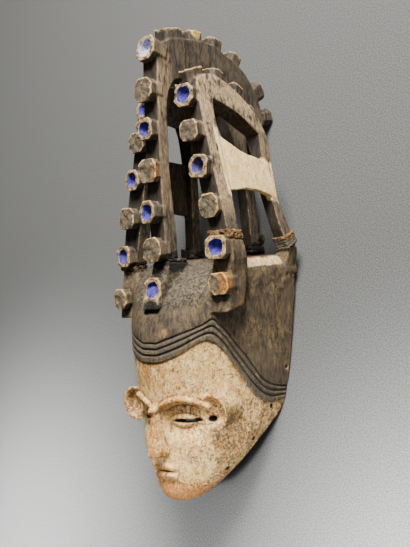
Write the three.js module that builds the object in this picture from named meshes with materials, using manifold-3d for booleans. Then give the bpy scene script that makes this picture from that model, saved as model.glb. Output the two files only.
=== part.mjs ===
// A carved-wood helmet mask with an openwork crest of three fore-and-aft arches, lying on its back.
// It is worked out upright, in the mask's own frame: X to the mask's left, Y to its back, Z up from
// the chin, in millimetres. The last group lays it down on the two lower corners of its rear edges
// and the rearmost knob of the crest. +Z is then up, away from the floor, and the crown lies
// towards +Y.
import * as THREE from "three";
import { mergeVertices } from "three/addons/utils/BufferGeometryUtils.js";
import Module from "manifold-3d";

const wasm = await Module();
wasm.setup();

// ---------------------------------------------------------------- driving sizes, mm and degrees
const WALL = 11; // thickness of the helmet's side walls
const FACE_WALL = 12; // thickness behind the face
const CAP_TOP = 262; // height of the cap over the chin
const CAP_THICK = 17; // thickness of the cap's roof
const HALF_WIDTH = 78; // half the helmet's width at the ears
const EDGE_LOW = [35, 90]; // Y, Z of the rear edge's lower corner
const EDGE_HIGH = [74, 259]; // Y, Z of the rear edge at the top of the wall
const LINTEL_Z = 236; // height of the rear opening's upper edge
const ARCH_HALF = 13.2; // half the thickness of an outer arch
const CENTRE_HALF = 12; // half the thickness of the centre arch
const KNOB = 25; // width of a knob
const PANEL_THICK = 8; // thickness of an outer arch's cross panel
const BROW_Z = 108,
  NOSE_Z = 55,
  MOUTH_Z = 37; // a face in three equal thirds under the hairline at 161
const EAR_Z = 102, // height of the ears' middle
  EAR_FRONT = -71, // Y of an ear's rim, and of its root on the side of the head
  EAR_ROOT = -34,
  EAR_RIM = [62, 21, 21], // middle X, half width and half height at the rim
  EAR_BACK = [58, 11, 14], // and at the root
  EAR_WALL = 5.5, // thickness of the rim
  EAR_DEEP = 12; // depth of the hollow
const LEFT_REAR_FOOT = 270.5, // heights of the arches' rear feet
  RIGHT_REAR_FOOT = 263.5,
  CENTRE_REAR_FOOT = 264.2;
const FIT = 0.3; // gap between pieces that touch
const LIE_BACK = -74.19, // turn about X that lays the mask down
  LIE_SHIFT = [0.47, -246.57, 9.163]; // then its place: middle of its outline on the floor at 0, 0

// ---------------------------------------------------------------- small helpers
const lerp = (a, b, t) => a + (b - a) * t;
const clamp = (v, a, b) => Math.min(b, Math.max(a, v));
const smooth = (a, b, v) => {
  const t = clamp((v - a) / (b - a), 0, 1);
  return t * t * (3 - 2 * t);
};
const bell = (v, w) => Math.exp(-(v * v) / (w * w));

// A smooth curve through (t, value) pairs with monotone tangents.
function curve(...pairs) {
  const t = pairs.map((p) => p[0]),
    v = pairs.map((p) => p[1]),
    n = t.length;
  const d = [];
  for (let i = 0; i < n - 1; i++) d.push((v[i + 1] - v[i]) / (t[i + 1] - t[i]));
  const m = [d[0]];
  for (let i = 1; i < n - 1; i++)
    m.push(d[i - 1] * d[i] <= 0 ? 0 : (2 * d[i - 1] * d[i]) / (d[i - 1] + d[i]));
  m.push(d[n - 2]);
  return (x) => {
    if (x <= t[0]) return v[0];
    if (x >= t[n - 1]) return v[n - 1];
    let i = 0;
    while (x > t[i + 1]) i++;
    const h = t[i + 1] - t[i],
      s = (x - t[i]) / h,
      s2 = s * s,
      s3 = s2 * s;
    return (
      (2 * s3 - 3 * s2 + 1) * v[i] +
      (s3 - 2 * s2 + s) * h * m[i] +
      (-2 * s3 + 3 * s2) * v[i + 1] +
      (s3 - s2) * h * m[i + 1]
    );
  };
}

// Points along a smooth open line through a few places, as [Y, Z].
const along = (places, steps) =>
  new THREE.SplineCurve(places.map((p) => new THREE.Vector2(...p)))
    .getSpacedPoints(steps)
    .map((p) => [p.x, p.y]);

function solid(geometry) {
  const bare = new THREE.BufferGeometry().setAttribute(
    "position",
    geometry.getAttribute("position"),
  );
  if (geometry.index) bare.setIndex(geometry.index);
  const g = mergeVertices(bare, 1e-3);
  return new wasm.Manifold(
    new wasm.Mesh({
      numProp: 3,
      vertProperties: new Float32Array(g.attributes.position.array),
      triVerts: new Uint32Array(g.index.array),
    }),
  );
}

function geometryOf(made) {
  const m = made.getMesh(),
    v = new Float32Array(m.numVert * 3);
  for (let i = 0; i < m.numVert; i++)
    v.set(m.vertProperties.subarray(i * m.numProp, i * m.numProp + 3), i * 3);
  const g = new THREE.BufferGeometry()
    .setAttribute("position", new THREE.BufferAttribute(v, 3))
    .setIndex(new THREE.BufferAttribute(new Uint32Array(m.triVerts), 1));
  g.computeVertexNormals();
  return g;
}

// A closed solid from rows of points: every row is a closed ring with the same number of points,
// and the two ends are closed on their middle points.
function loft(rows) {
  const n = rows[0].length,
    v = [],
    idx = [];
  rows.forEach((r) => r.forEach((p) => v.push(...p)));
  const mid = (r) =>
    r.reduce((a, p) => a.map((q, i) => q + p[i] / n), [0, 0, 0]);
  v.push(...mid(rows[0]), ...mid(rows[rows.length - 1]));
  const a = rows.length * n,
    b = a + 1;
  for (let r = 0; r < rows.length - 1; r++)
    for (let i = 0; i < n; i++) {
      const j = (i + 1) % n,
        p = r * n;
      idx.push(p + i, p + j, p + n + j, p + i, p + n + j, p + n + i);
    }
  for (let i = 0; i < n; i++) {
    const j = (i + 1) % n,
      p = (rows.length - 1) * n;
    idx.push(a, j, i, b, p + i, p + j);
  }
  const g = new THREE.BufferGeometry()
    .setAttribute("position", new THREE.Float32BufferAttribute(v, 3))
    .setIndex(idx);
  const made = solid(g);
  return made.volume() > 0 ? made : solid(flip(g));
}
function flip(g) {
  const i = Array.from(g.index.array);
  for (let k = 0; k < i.length; k += 3) [i[k + 1], i[k + 2]] = [i[k + 2], i[k + 1]];
  return g.clone().setIndex(i);
}
// The same for a geometry with no index.
function turned(g) {
  const n = g.attributes.position.count;
  return flip(g.clone().setIndex([...Array(n).keys()]));
}

// An outline in the Y-Z plane, drawn out along X from -half to +half, with worn edges.
function slab(outline, half, bevel = 2.5, holes = []) {
  const shape = new THREE.Shape(outline.map((p) => new THREE.Vector2(...p)));
  holes.forEach((h) =>
    shape.holes.push(new THREE.Path(h.map((p) => new THREE.Vector2(...p)))),
  );
  const g = new THREE.ExtrudeGeometry(shape, {
    depth: 2 * (half - bevel),
    bevelEnabled: bevel > 0,
    bevelSize: bevel,
    bevelThickness: bevel,
    bevelOffset: -bevel,
    bevelSegments: 1,
    curveSegments: 1,
  });
  g.translate(0, 0, -(half - bevel));
  // the outline's x, y, z become Y, Z, X
  const p = g.attributes.position;
  for (let i = 0; i < p.count; i++)
    p.setXYZ(i, p.getZ(i), p.getX(i), p.getY(i));
  return g;
}

// Moves every point of a geometry sideways by offset(Y, Z), after making it slimmer by share(Y, Z).
function lean(g, offset, share = () => 1) {
  const p = g.attributes.position;
  for (let i = 0; i < p.count; i++)
    p.setX(i, p.getX(i) * share(p.getY(i), p.getZ(i)) + offset(p.getY(i), p.getZ(i)));
  return g;
}

// A short knob with cut corners. It stands at `foot`, points along `dir`, and rises `rise` above it;
// `sink` of it is buried. A hollow knob has a cup cut into its end.
function knob({ foot, dir, rise, size = KNOB, tall = KNOB, turn = 0, cup = false }) {
  const corner = 0.26,
    sink = 7,
    ring = (w, h, z) => {
      const a = w / 2,
        b = h / 2,
        c = corner * Math.min(w, h);
      return [
        [a, -b + c],
        [a, b - c],
        [a - c, b],
        [-a + c, b],
        [-a, b - c],
        [-a, -b + c],
        [-a + c, -b],
        [a - c, -b],
      ].map(([x, y]) => [x, y, z]);
    };
  let made = loft([
    ring(size - 3, tall - 3, -sink),
    ring(size, tall, rise - 2),
    ring(size - 3, tall - 3, rise),
  ]);
  if (cup) {
    const deep = Math.min(8, rise * 0.6);
    made = made.subtract(
      loft([
        ring(size * 0.42, tall * 0.42, rise - deep),
        ring(size * 0.68, tall * 0.68, rise - 1.6),
        ring(size * 0.76, tall * 0.76, rise + 2),
      ]),
    );
  }
  const z = new THREE.Vector3(...dir).normalize(),
    x = new THREE.Vector3(1, 0, 0).addScaledVector(z, -z.x).normalize(),
    m = new THREE.Matrix4()
      .makeBasis(x, new THREE.Vector3().crossVectors(z, x), z)
      .setPosition(...foot);
  m.multiply(new THREE.Matrix4().makeRotationZ(THREE.MathUtils.degToRad(turn)));
  return solid(geometryOf(made).applyMatrix4(m));
}

const all = (solids) => solids.reduce((a, b) => a.add(b));

// ---------------------------------------------------------------- the head's shape
// Half width, front and widest place of the head at each height over the chin.
const halfWidth = curve([0, 15], [8, 29], [20, 41], [35, 52], [55, 63], [75, 70], [95, 74], [120, 76.5], [150, HALF_WIDTH], [262, HALF_WIDTH - 0.5]);
const frontY = curve([0, -76], [8, -81], [20, -85], [45, -88.5], [80, -91], [120, -95], [160, -97.5], [185, -95], [203, -90], [218, -83], [231, -73], [242, -60], [252, -44], [262, -26]);
const widestY = curve([0, -62], [10, -52], [20, -44], [35, -32], [55, -16], [75, -2], [95, 8], [120, 16], [150, 22], [262, 26]);
const frontPower = curve([0, 2.1], [60, 2.1], [150, 2.2], [205, 2.5], [240, 3.4], [262, 5.5]);

// Relief of the face over the plain head, at the distance s round it and the height z.
function relief(s, z) {
  const a = Math.abs(s);
  let r = 0;
  // brow ridge: an even arch from the nose's root to the ear
  const brow = BROW_Z + 9 * Math.sin(clamp((a - 5) / 55, 0, 1) * Math.PI) - 3 * smooth(0, 10, 10 - a);
  const onBrow = smooth(66, 56, a);
  r += 4.4 * bell(z - brow, 5.4) * onBrow;
  // eye hollow under the brow, with the lid's soft bulge in it
  const hollow = smooth(brow - 2, brow - 9, z) * smooth(NOSE_Z + 14, NOSE_Z + 34, z);
  r -= 6.5 * hollow * smooth(6, 15, a) * smooth(60, 44, a);
  r += 3.6 * bell(a - 31, 13) * bell(z - (BROW_Z - 14), 7.5);
  // nose: a straight narrow wedge that widens to the wings
  const down = clamp((BROW_Z + 2 - z) / (BROW_Z + 2 - NOSE_Z), 0, 1);
  const wide = lerp(6.5, 11.5, down ** 1.6),
    high = lerp(5, 19, down ** 0.9);
  const under = smooth(NOSE_Z - 4, NOSE_Z + 1.5, z),
    root = smooth(BROW_Z + 9, BROW_Z - 6, z);
  r += high * under * root * smooth(wide, wide * 0.28, a);
  // cheeks, lips and chin
  r += 2.2 * bell(a - 42, 17) * bell(z - 62, 20);
  const lipEnd = smooth(25, 12, a);
  r += 4.4 * bell(z - (MOUTH_Z + 4.8), 4) * lipEnd;
  r += 4.6 * bell(z - (MOUTH_Z - 5), 4.4) * lipEnd;
  r -= 2.2 * bell(z - (MOUTH_Z - 13), 4) * smooth(24, 8, a);
  r += 3.2 * bell(a, 15) * bell(z - 11, 9);
  return r;
}

// One ring round the head at the height z: `inset` moves it inwards, `round` is the share of the
// columns' places along it. Each place is the distance from the middle of the face.
function headRing(z, inset, shares, withRelief) {
  const w = halfWidth(z) - inset,
    f = frontY(z) + inset * (FACE_WALL / WALL),
    c = widestY(z),
    n = frontPower(z),
    back = 120;
  const at = (phi) => {
    const s = Math.sin(phi),
      k = Math.cos(phi),
      pw = (v, e) => Math.sign(v) * Math.abs(v) ** e;
    if (k >= 0) return [w * pw(s, 2 / n), c - (c - f) * pw(k, 2 / n)];
    return [w * pw(s, 0.4), c + (back - c) * pw(-k, 0.4)];
  };
  const fine = 240,
    pts = [],
    len = [0];
  for (let i = 0; i <= fine; i++) pts.push(at((i / fine) * Math.PI));
  for (let i = 1; i <= fine; i++)
    len.push(len[i - 1] + Math.hypot(pts[i][0] - pts[i - 1][0], pts[i][1] - pts[i - 1][1]));
  const total = len[fine];
  const place = (dist) => {
    const d = clamp(dist, 0, total);
    let i = 1;
    while (i < fine && len[i] < d) i++;
    const t = (d - len[i - 1]) / (len[i] - len[i - 1] || 1);
    const x = lerp(pts[i - 1][0], pts[i][0], t),
      y = lerp(pts[i - 1][1], pts[i][1], t);
    let nx = -(pts[i][1] - pts[i - 1][1]),
      ny = pts[i][0] - pts[i - 1][0];
    const l = Math.hypot(nx, ny) || 1;
    nx = -nx / l;
    ny = -ny / l;
    return [x, y, nx, ny];
  };
  const ring = [];
  const half = shares.map((g) => g * total);
  const push = (s, side) => {
    const [x, y, nx, ny] = place(s);
    const r = withRelief ? relief(s, z) : 0;
    ring.push([side * (x + nx * r), y + ny * r, z]);
  };
  half.forEach((s) => push(s, 1));
  for (let i = half.length - 2; i > 0; i--) push(half[i], -1);
  return ring;
}

// Column places: close together over the face, wider on the sides, few behind.
const SHARES = [];
{
  const total = 260,
    face = 88,
    side = 190;
  for (let s = 0; s < face; s += 6.8) SHARES.push(s / total);
  for (let s = face; s < side; s += 20.4) SHARES.push(s / total);
  for (let s = side; s < total; s += 35) SHARES.push(s / total);
  SHARES.push(1);
}
const INNER_SHARES = [];
for (let i = 0; i <= 12; i++) INNER_SHARES.push((i / 12) ** 1.1);

// The cap's roof: a low rough dome that falls to the front and is chamfered along the side walls.
const roof = (x, y) =>
  CAP_TOP +
  1.2 -
  0.0003 * x * x -
  0.0032 * Math.max(0, -6 - y) ** 2 -
  1.15 * Math.max(0, Math.abs(x) - (HALF_WIDTH - 9)) -
  0.25 * Math.max(0, y - 66);

function under(top, x0, x1, y0, y1, nx, ny, floor) {
  const rows = [];
  for (let i = 0; i <= nx; i++) {
    const x = lerp(x0, x1, i / nx),
      row = [];
    row.push([x, y0, floor]);
    for (let j = 0; j <= ny; j++) {
      const y = lerp(y0, y1, j / ny);
      row.push([x, y, top(x, y)]);
    }
    row.push([x, y1, floor]);
    rows.push(row);
  }
  return loft(rows);
}

function box(x0, x1, y0, y1, z0, z1) {
  const g = new THREE.BoxGeometry(x1 - x0, y1 - y0, z1 - z0);
  g.translate((x0 + x1) / 2, (y0 + y1) / 2, (z0 + z1) / 2);
  return solid(g);
}

// ---------------------------------------------------------------- places of the crest
// How far an outer arch stands from the middle plane, and the centre arch's slight set to the left
// at its rear foot.
const outerX = (y, z) => {
  const front = 74 - 0.229 * (z - 274),
    rear = 74 - 0.115 * (z - 274),
    t = clamp((y + 40) / 95, -0.3, 1.3);
  return lerp(front, rear, t);
};
// The outer arches' rear posts are slimmer, and set towards their outer face.
const REAR_SLIM = 0.615;
const slim = (y, z) => lerp(1, REAR_SLIM, smooth(8, 34, y) * smooth(428, 372, z));
const rearX = (y, z) => outerX(y, z) + (ARCH_HALF - 3) * (1 - REAR_SLIM) - 2;
const centreSlim = (y, z) => lerp(1, 0.68, smooth(10, 44, y) * smooth(440, 396, z));
const centreX = (y, z) =>
  smooth(-10, 60, y) * (4 + 9 * (1 - clamp((z - 270) / 170, 0, 1)));

// ---------------------------------------------------------------- helmet
function makeHelmet() {
  const rows = [],
    inner = [];
  const levels = [];
  for (let z = 0; z < 20; z += 6.6) levels.push(z);
  for (let z = 20; z < 126; z += 6.3) levels.push(z);
  for (let z = 130; z < 200; z += 14) levels.push(z);
  for (let z = 202; z <= 270; z += 8) levels.push(z);
  levels.push(300);
  levels.forEach((z) => rows.push(headRing(z, 0, SHARES, true)));
  for (let z = -10; z <= 250; z += 26) inner.push(headRing(Math.max(z, 6), WALL, INNER_SHARES, false).map((p) => [p[0], p[1], z]));
  let outer = loft(rows).intersect(under(roof, -95, 95, -110, 100, 16, 12, -20));

  // the plan of the cap's rear: square at the walls and bowed a little in the middle
  const rearEdge = (z) => lerp(EDGE_LOW[0], EDGE_HIGH[0], (z - EDGE_LOW[1]) / (EDGE_HIGH[1] - EDGE_LOW[1]));
  const bow = [];
  for (let i = 0; i <= 10; i++) {
    const x = lerp(-100, 100, i / 10);
    bow.push([x, rearEdge(CAP_TOP) - 1 + 7 * Math.max(0, 1 - (x / 80) ** 2)]);
  }
  const behind = new THREE.Shape([
    new THREE.Vector2(-100, 200),
    ...bow.map((p) => new THREE.Vector2(...p)),
    new THREE.Vector2(100, 200),
  ]);
  const rearCap = new THREE.ExtrudeGeometry(behind, { depth: 80, bevelEnabled: false });
  rearCap.translate(0, 0, LINTEL_Z - 4);
  {
    const q = rearCap.attributes.position;
    for (let i = 0; i < q.count; i++) q.setY(i, q.getY(i) + 0.23 * (q.getZ(i) - CAP_TOP));
  }

  // rim: from the chin up along the jaw to the rear edge's corner, then straight up the edge
  const jaw = along([[-66, -3], [-54, 8], [-30, 30], [2, 62], [24, 80], EDGE_LOW], 12);
  const cut = [...jaw, [rearEdge(LINTEL_Z + 2), LINTEL_Z + 2], [220, LINTEL_Z + 2], [220, -60], [-66, -60]];
  const rimCut = solid(slab(cut, 110, 0));

  const hollowTop = (x, y) => roof(x, y) - CAP_THICK - 0.004 * x * x;
  const hollow = loft(inner).intersect(under(hollowTop, -95, 95, -110, 60, 12, 10, -30));
  // the rear opening's arched head, through the lintel
  const arched = [];
  for (let i = 0; i <= 12; i++) {
    const a = (i / 12) * Math.PI;
    arched.push([Math.cos(a) * (HALF_WIDTH - WALL - 3), 190 + Math.sin(a) * (LINTEL_Z - 190)]);
  }
  const door = new THREE.ExtrudeGeometry(
    new THREE.Shape([...arched, [-(HALF_WIDTH - WALL - 3), 60], [HALF_WIDTH - WALL - 3, 60]].map((p) => new THREE.Vector2(...p))),
    { depth: 120, bevelEnabled: false },
  );
  door.rotateX(Math.PI / 2); // the outline's height becomes Z, and its depth runs along -Y
  door.translate(0, 150, 0);

  let made = outer
    .subtract(hollow)
    .subtract(rimCut)
    .subtract(solid(rearCap))
    .subtract(solid(door));

  // stumps of the crest's feet, and the knobs that are left on the cap
  const stumps = [];
  const intoWall = (z) => 5 * smooth(276, 244, z);
  const leftStump = slab([[-62, 207], [-34, 212], [-24, 250], [-30, 281.2], [-50.5, 284.9], [-54, 250]], ARCH_HALF + 0.5);
  stumps.push(solid(lean(leftStump, (y, z) => outerX(y, Math.max(z, 262)) - intoWall(z))));
  const rightStump = slab([[-62, 200], [-34, 206], [-24, 240], [-31, 254.6], [-51, 256.6], [-56, 240]], ARCH_HALF);
  stumps.push(solid(lean(rightStump, (y, z) => intoWall(z) - outerX(y, Math.max(z, 262)))));
  const frontStump = slab([[-93, 212.5], [-62, 216], [-38, 240], [-40, 262.2], [-72, 263], [-77, 245], [-91, 225]], CENTRE_HALF + 0.5);
  stumps.push(solid(frontStump));
  const rearStump = (top, dy = 0) => slab([[48, 240], [72, 240], [70.5 + dy, top], [54 + dy, top]], 9);
  stumps.push(solid(lean(rearStump(LEFT_REAR_FOOT - FIT, -2), (y, z) => rearX(60, Math.max(z, 262)) - 1.2 * intoWall(z))));
  stumps.push(solid(lean(rearStump(RIGHT_REAR_FOOT - FIT), (y, z) => 1.2 * intoWall(z) - rearX(60, Math.max(z, 262)))));
  stumps.push(solid(lean(slab([[56, 246], [79, 246], [80, CENTRE_REAR_FOOT - FIT], [60, CENTRE_REAR_FOOT - FIT]], 9), centreX)));
  stumps.push(
    knob({ foot: [0, -70, 234], dir: [0, -1, 0.04], rise: 17, size: 25, tall: 25, cup: true }),
    knob({ foot: [74, -51, 274], dir: [0.1, -1, 0.08], rise: 14, size: 26, tall: 25, cup: true }),
    knob({ foot: [76, -53, 237], dir: [0.08, -1, 0], rise: 14, size: 25, tall: 23, turn: 4 }),
    knob({ foot: [-75, -54, 223], dir: [-0.08, -1, 0], rise: 16, size: 24, tall: 24 }),
  );
  // ears: an oval that stands out to the side and runs back into the head, hollowed from the front;
  // the hollow is open towards the face, so the rim is C-shaped
  const oval = ([x, a, b], y, open = 0) => {
    const pts = [];
    for (let i = 0; i < 16; i++) {
      const t = (i / 16) * 2 * Math.PI,
        c = Math.cos(t);
      pts.push([x + c * (c < 0 ? a + open : a), y, EAR_Z + b * Math.sin(t)]);
    }
    return pts;
  };
  const mixed = (t) => EAR_RIM.map((v, i) => lerp(v, EAR_BACK[i], t));
  const bowl = EAR_RIM.map((v, i) => (i ? v - EAR_WALL : v - 0.5));
  for (const side of [1, -1]) {
    const ear = loft([oval(mixed(0.03), EAR_FRONT), oval(mixed(0), EAR_FRONT + 2), oval(mixed(0.4), lerp(EAR_FRONT, EAR_ROOT, 0.5)), oval(mixed(1), EAR_ROOT)]).subtract(
      loft([oval([bowl[0], bowl[1] + 0.6, bowl[2] + 0.6], EAR_FRONT - 2, 16), oval(bowl, EAR_FRONT + EAR_DEEP * 0.6, 16), oval([bowl[0], bowl[1] * 0.55, bowl[2] * 0.6], EAR_FRONT + EAR_DEEP, 16)]),
    );
    if (side > 0) stumps.push(ear);
    else stumps.push(solid(flip(geometryOf(ear).applyMatrix4(new THREE.Matrix4().makeScale(-1, 1, 1)))));
  }
  made = all([made, ...stumps]);
  made = made.subtract(hollow.intersect(box(-90, 90, -100, 56, -20, 232)));

  // slits and holes, cut right through
  const cuts = [];
  const slit = (x, z, wide, high, y0, y1, tilt = 0) => {
    const pts = [];
    for (let i = 0; i < 12; i++) {
      const a = (i / 12) * 2 * Math.PI;
      pts.push(new THREE.Vector2((wide / 2) * Math.cos(a), (high / 2) * Math.sin(a)));
    }
    const g = new THREE.ExtrudeGeometry(new THREE.Shape(pts), { depth: y1 - y0, bevelEnabled: false });
    g.rotateZ(tilt).rotateX(Math.PI / 2).translate(x, y1, z);
    return solid(g);
  };
  for (const side of [1, -1]) {
    cuts.push(slit(side * 31, BROW_Z - 15, 24, 4.2, -110, -52, 0));
    cuts.push(slit(side * 54.5, 94, 4.5, 4.5, -110, -36));
  }
  cuts.push(slit(0, MOUTH_Z, 30, 3, -115, -66));
  const hole = (y, z) => {
    const g = new THREE.CylinderGeometry(2.1, 2.1, 220, 6).rotateZ(Math.PI / 2);
    return solid(g.translate(0, y, z));
  };
  [[-42, 35], [-12, 62], [13, 94], [39, 134]].forEach(([y, z]) => cuts.push(hole(y, z)));
  cuts.forEach((c) => (made = made.subtract(c)));
  return made;
}

// ---------------------------------------------------------------- arches
// An outer arch: front post, top beam, rear post and a thin cross panel, seen from the side. The
// left one slopes down to the back, and the right one stays high.
function makeOuterArch(side, knobs, footZ, rearFootZ) {
  const front = along([[-50, footZ], [-48, 340], [-45, 400], [-43, 448]], 6),
    behind = along([[-26, 420], [-28, 380], [-29, 330], [-32, footZ]], 5);
  const outside =
    side > 0
      ? [
          ...front,
          ...along([[-40, 460], [-27, 466], [-13, 465], [5, 453], [20, 439.5], [33, 423], [42, 407.5], [46.5, 396]], 10),
          ...along([[48, 385], [47.3, 360], [47, 340], [48.5, 324], [53.5, 309], [60, 290]], 5),
          [68, rearFootZ],
        ]
      : [
          ...front,
          ...along([[-40, 460], [-27, 466], [-8, 468], [12, 468], [30, 463], [46, 452], [55, 436], [58, 418]], 10),
          ...along([[60, 392], [63, 360], [65.5, 325], [68, 290]], 4),
          [70.5, rearFootZ],
        ];
  const inside =
    side > 0
      ? [
          [51.5, rearFootZ],
          ...along([[43.5, 290], [39, 312], [34.5, 340], [33, 375], [33, 400]], 5),
          ...along([[20, 411], [8, 421], [-8, 430], [-23, 437]], 5),
          ...behind,
        ]
      : [
          [54, rearFootZ],
          ...along([[53, 290], [51, 320], [49, 345], [46, 375], [42, 400], [38, 418]], 6),
          ...along([[32, 428], [16, 430], [0, 432], [-14, 434], [-23, 437]], 5),
          ...behind,
        ];
  const post = slab([...outside, ...inside], ARCH_HALF, 3);
  const panelOutline =
    side > 0
      ? [
          ...along([[-33, 401], [-14, 389], [2, 379.5], [18, 374], [32, 369.5], [45, 365]], 7),
          ...along([[45.5, 325], [34, 329.5], [18, 334.5], [0, 337], [-12, 336], [-33, 334]], 6),
        ]
      : [
          ...along([[-33, 398], [-14, 391], [2, 387], [20, 385], [54, 384]], 6),
          ...along([[56, 319], [22, 323], [4, 327], [-12, 330], [-33, 333]], 5),
        ];
  const panel = slab(panelOutline, PANEL_THICK / 2, 1);
  panel.translate(ARCH_HALF - PANEL_THICK / 2 - 2.5, 0, 0);
  const inset = (y, z) => ((1 - slim(y, z)) / (1 - REAR_SLIM)) * (rearX(y, z) - outerX(y, z));
  lean(post, (y, z) => outerX(y, z) + inset(y, z), slim);
  lean(panel, outerX);
  const parts = [solid(post), solid(panel)];
  knobs.forEach((k) => parts.push(knob({ ...k, foot: [outerX(k.foot[0], k.foot[1]) + (k.aside || 0), ...k.foot] })));
  let made = all(parts);
  if (side < 0) {
    const g = geometryOf(made).applyMatrix4(new THREE.Matrix4().makeScale(-1, 1, 1));
    made = solid(flip(g));
  }
  return made;
}

function makeCentreArch(knobs) {
  const outside = [
    ...along([[-72.5, 265.5], [-73, 300], [-72.5, 340], [-71.5, 376], [-69.5, 420], [-67, 460], [-65, 486]], 7),
    ...along([[-60, 500], [-44, 509.5], [-20, 514], [10, 515.5], [30, 513], [45, 505.5], [60, 499], [84, 484], [101, 460], [110, 440], [113, 428]], 13),
    ...along([[106, 419], [84, 414], [76, 400]], 3),
    ...along([[79, 370], [82, 340], [82, 310], [80, CENTRE_REAR_FOOT]], 4),
  ];
  const inside = [
    ...along([[62, CENTRE_REAR_FOOT], [64, 300], [65, 330], [63, 360], [55, 392], [47, 414]], 6),
    ...along([[42, 433], [30, 453], [10, 464], [-15, 467], [-38, 464], [-49, 451]], 8),
    ...along([[-52.5, 440], [-55, 410], [-57, 370], [-56, 340], [-54, 300], [-54, 265.5]], 6),
  ];
  const post = lean(slab([...outside, ...inside], CENTRE_HALF, 3), centreX, centreSlim);
  const parts = [solid(post)];
  knobs.forEach((k) => parts.push(knob({ ...k, foot: [centreX(k.foot[0], k.foot[1]) + (k.aside || 0), ...k.foot] })));
  return all(parts);
}

// ---------------------------------------------------------------- repairs
// A wound lashing or a daub of resin round a foot, w by d across inside, built up of `turns`
// rounded bands along the foot's own line.
function collar({ at, axis, w, d, thick, tall, turns = 3 }) {
  const ring = (grow, z, corner) => {
    const a = w / 2 + grow,
      b = d / 2 + grow,
      c = Math.min(corner, a - 1, b - 1);
    return [
      [a, -b + c],
      [a, b - c],
      [a - c, b],
      [-a + c, b],
      [-a, b - c],
      [-a, -b + c],
      [-a + c, -b],
      [a - c, -b],
    ].map(([x, y]) => [x, y, z]);
  };
  const rows = [];
  for (let t = 0; t < turns; t++) {
    const z = (t / turns - 0.5) * tall,
      h = tall / turns;
    rows.push(ring(thick * 0.6, z + 0.03 * h, 4), ring(thick, z + 0.5 * h, 5));
  }
  rows.push(ring(thick * 0.6, tall / 2, 4));
  const made = loft(rows).subtract(loft([ring(0, -tall, 0.6), ring(0, tall, 0.6)]));
  const z = new THREE.Vector3(...axis).normalize(),
    x = new THREE.Vector3(1, 0, 0).addScaledVector(z, -z.x).normalize(),
    m = new THREE.Matrix4().makeBasis(x, new THREE.Vector3().crossVectors(z, x), z).setPosition(...at);
  return solid(geometryOf(made).applyMatrix4(m));
}

// ---------------------------------------------------------------- the model
const WOOD = { color: 0x4b4036, roughness: 0.85, metalness: 0 };
const group = new THREE.Group();
const mask = new THREE.Group();
mask.rotation.x = THREE.MathUtils.degToRad(LIE_BACK);
mask.position.set(...LIE_SHIFT);
group.add(mask);

function addMesh(name, made, looks) {
  const mesh = new THREE.Mesh(geometryOf(made), new THREE.MeshStandardMaterial(looks));
  mesh.name = name;
  mask.add(mesh);
}

const forward = (z = 0.05) => [0.04, -1, z];
const leftKnobs = [
  { foot: [-44, 440], dir: [0.1, -1, 0.12], rise: 11, size: 26, tall: 26, cup: true },
  { foot: [-47, 401], dir: forward(), rise: 13, size: 25, tall: 23 },
  { foot: [-47, 361], dir: forward(0.1), rise: 12.5, size: 25, tall: 25, turn: -8, cup: true },
  { foot: [-49, 319], dir: forward(), rise: 9, size: 26, tall: 26, turn: 3 },
  { foot: [-33, 463], dir: [0, -0.25, 1], rise: 10, size: 20, tall: 28 },
  { foot: [-8, 461], dir: [0, 0.22, 1], rise: 12, size: 20, tall: 22 },
  { foot: [15, 446], dir: [0, 0.55, 1], rise: 11, size: 20, tall: 19 },
  { foot: [31, 428], dir: [0, 0.8, 1], rise: 6, size: 18, tall: 14 },
];
const rightKnobs = [
  { foot: [-44, 438], dir: [0.05, -1, 0.1], rise: 6, size: 19, tall: 19, cup: true },
  { foot: [-45.5, 402], dir: forward(), rise: 10, size: 25, tall: 23 },
  { foot: [-47, 360], dir: forward(), rise: 10, size: 24, tall: 24, cup: true },
  { foot: [-49, 316], dir: forward(), rise: 12, size: 26, tall: 25 },
  { foot: [-50.5, 272], dir: [0.08, -1, 0.05], rise: 10, size: 24, tall: 25, cup: true },
  { foot: [-33, 463], dir: [0, -0.2, 1], rise: 10, size: 20, tall: 24 },
  { foot: [-5, 465], dir: [0, 0.05, 1], rise: 12, size: 20, tall: 22 },
  { foot: [21, 463], dir: [0, 0.3, 1], rise: 12, size: 20, tall: 22 },
  { foot: [47, 447], dir: [0, 0.9, 1], rise: 10, size: 19, tall: 20 },
];
const centreKnobs = [
  { foot: [-57, 494.5], dir: [0, -1, 0.26], rise: 15, size: 28, tall: 28, cup: true },
  { foot: [-67.5, 451], dir: [0, -1, 0.03], rise: 12.5, size: 27, tall: 26 },
  { foot: [-70.5, 408], dir: [0, -1, 0.03], rise: 12, size: 24, tall: 24, cup: true },
  { foot: [-72, 363], dir: [0.1, -1, 0.03], rise: 11, size: 24, tall: 26 },
  { foot: [-73, 318], dir: [-0.12, -1, 0.05], rise: 13.5, size: 25, tall: 25, cup: true },
  { foot: [-73, 276.5], dir: [0, -1, 0.05], rise: 12, size: 27, tall: 27, turn: 6 },
  { foot: [-31, 511], dir: [0, -0.12, 1], rise: 14, size: 20, tall: 31 },
  { foot: [4, 514], dir: [0, 0.02, 1], rise: 14, size: 19, tall: 23, turn: 5 },
  { foot: [35, 510.5], dir: [0, 0.25, 1], rise: 13, size: 20, tall: 24 },
  { foot: [65, 497], dir: [0, 0.6, 1], rise: 13, size: 20, tall: 22 },
  { foot: [100, 463], dir: [0, 1, 0.62], rise: 17, size: 24, tall: 24 },
  { foot: [113, 436], dir: [0, 1, 0.18], rise: 17, size: 24, tall: 21 },
  { foot: [81, 284.5], dir: [0, 1, -0.1], rise: 7, size: 20, tall: 15 },
];

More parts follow.
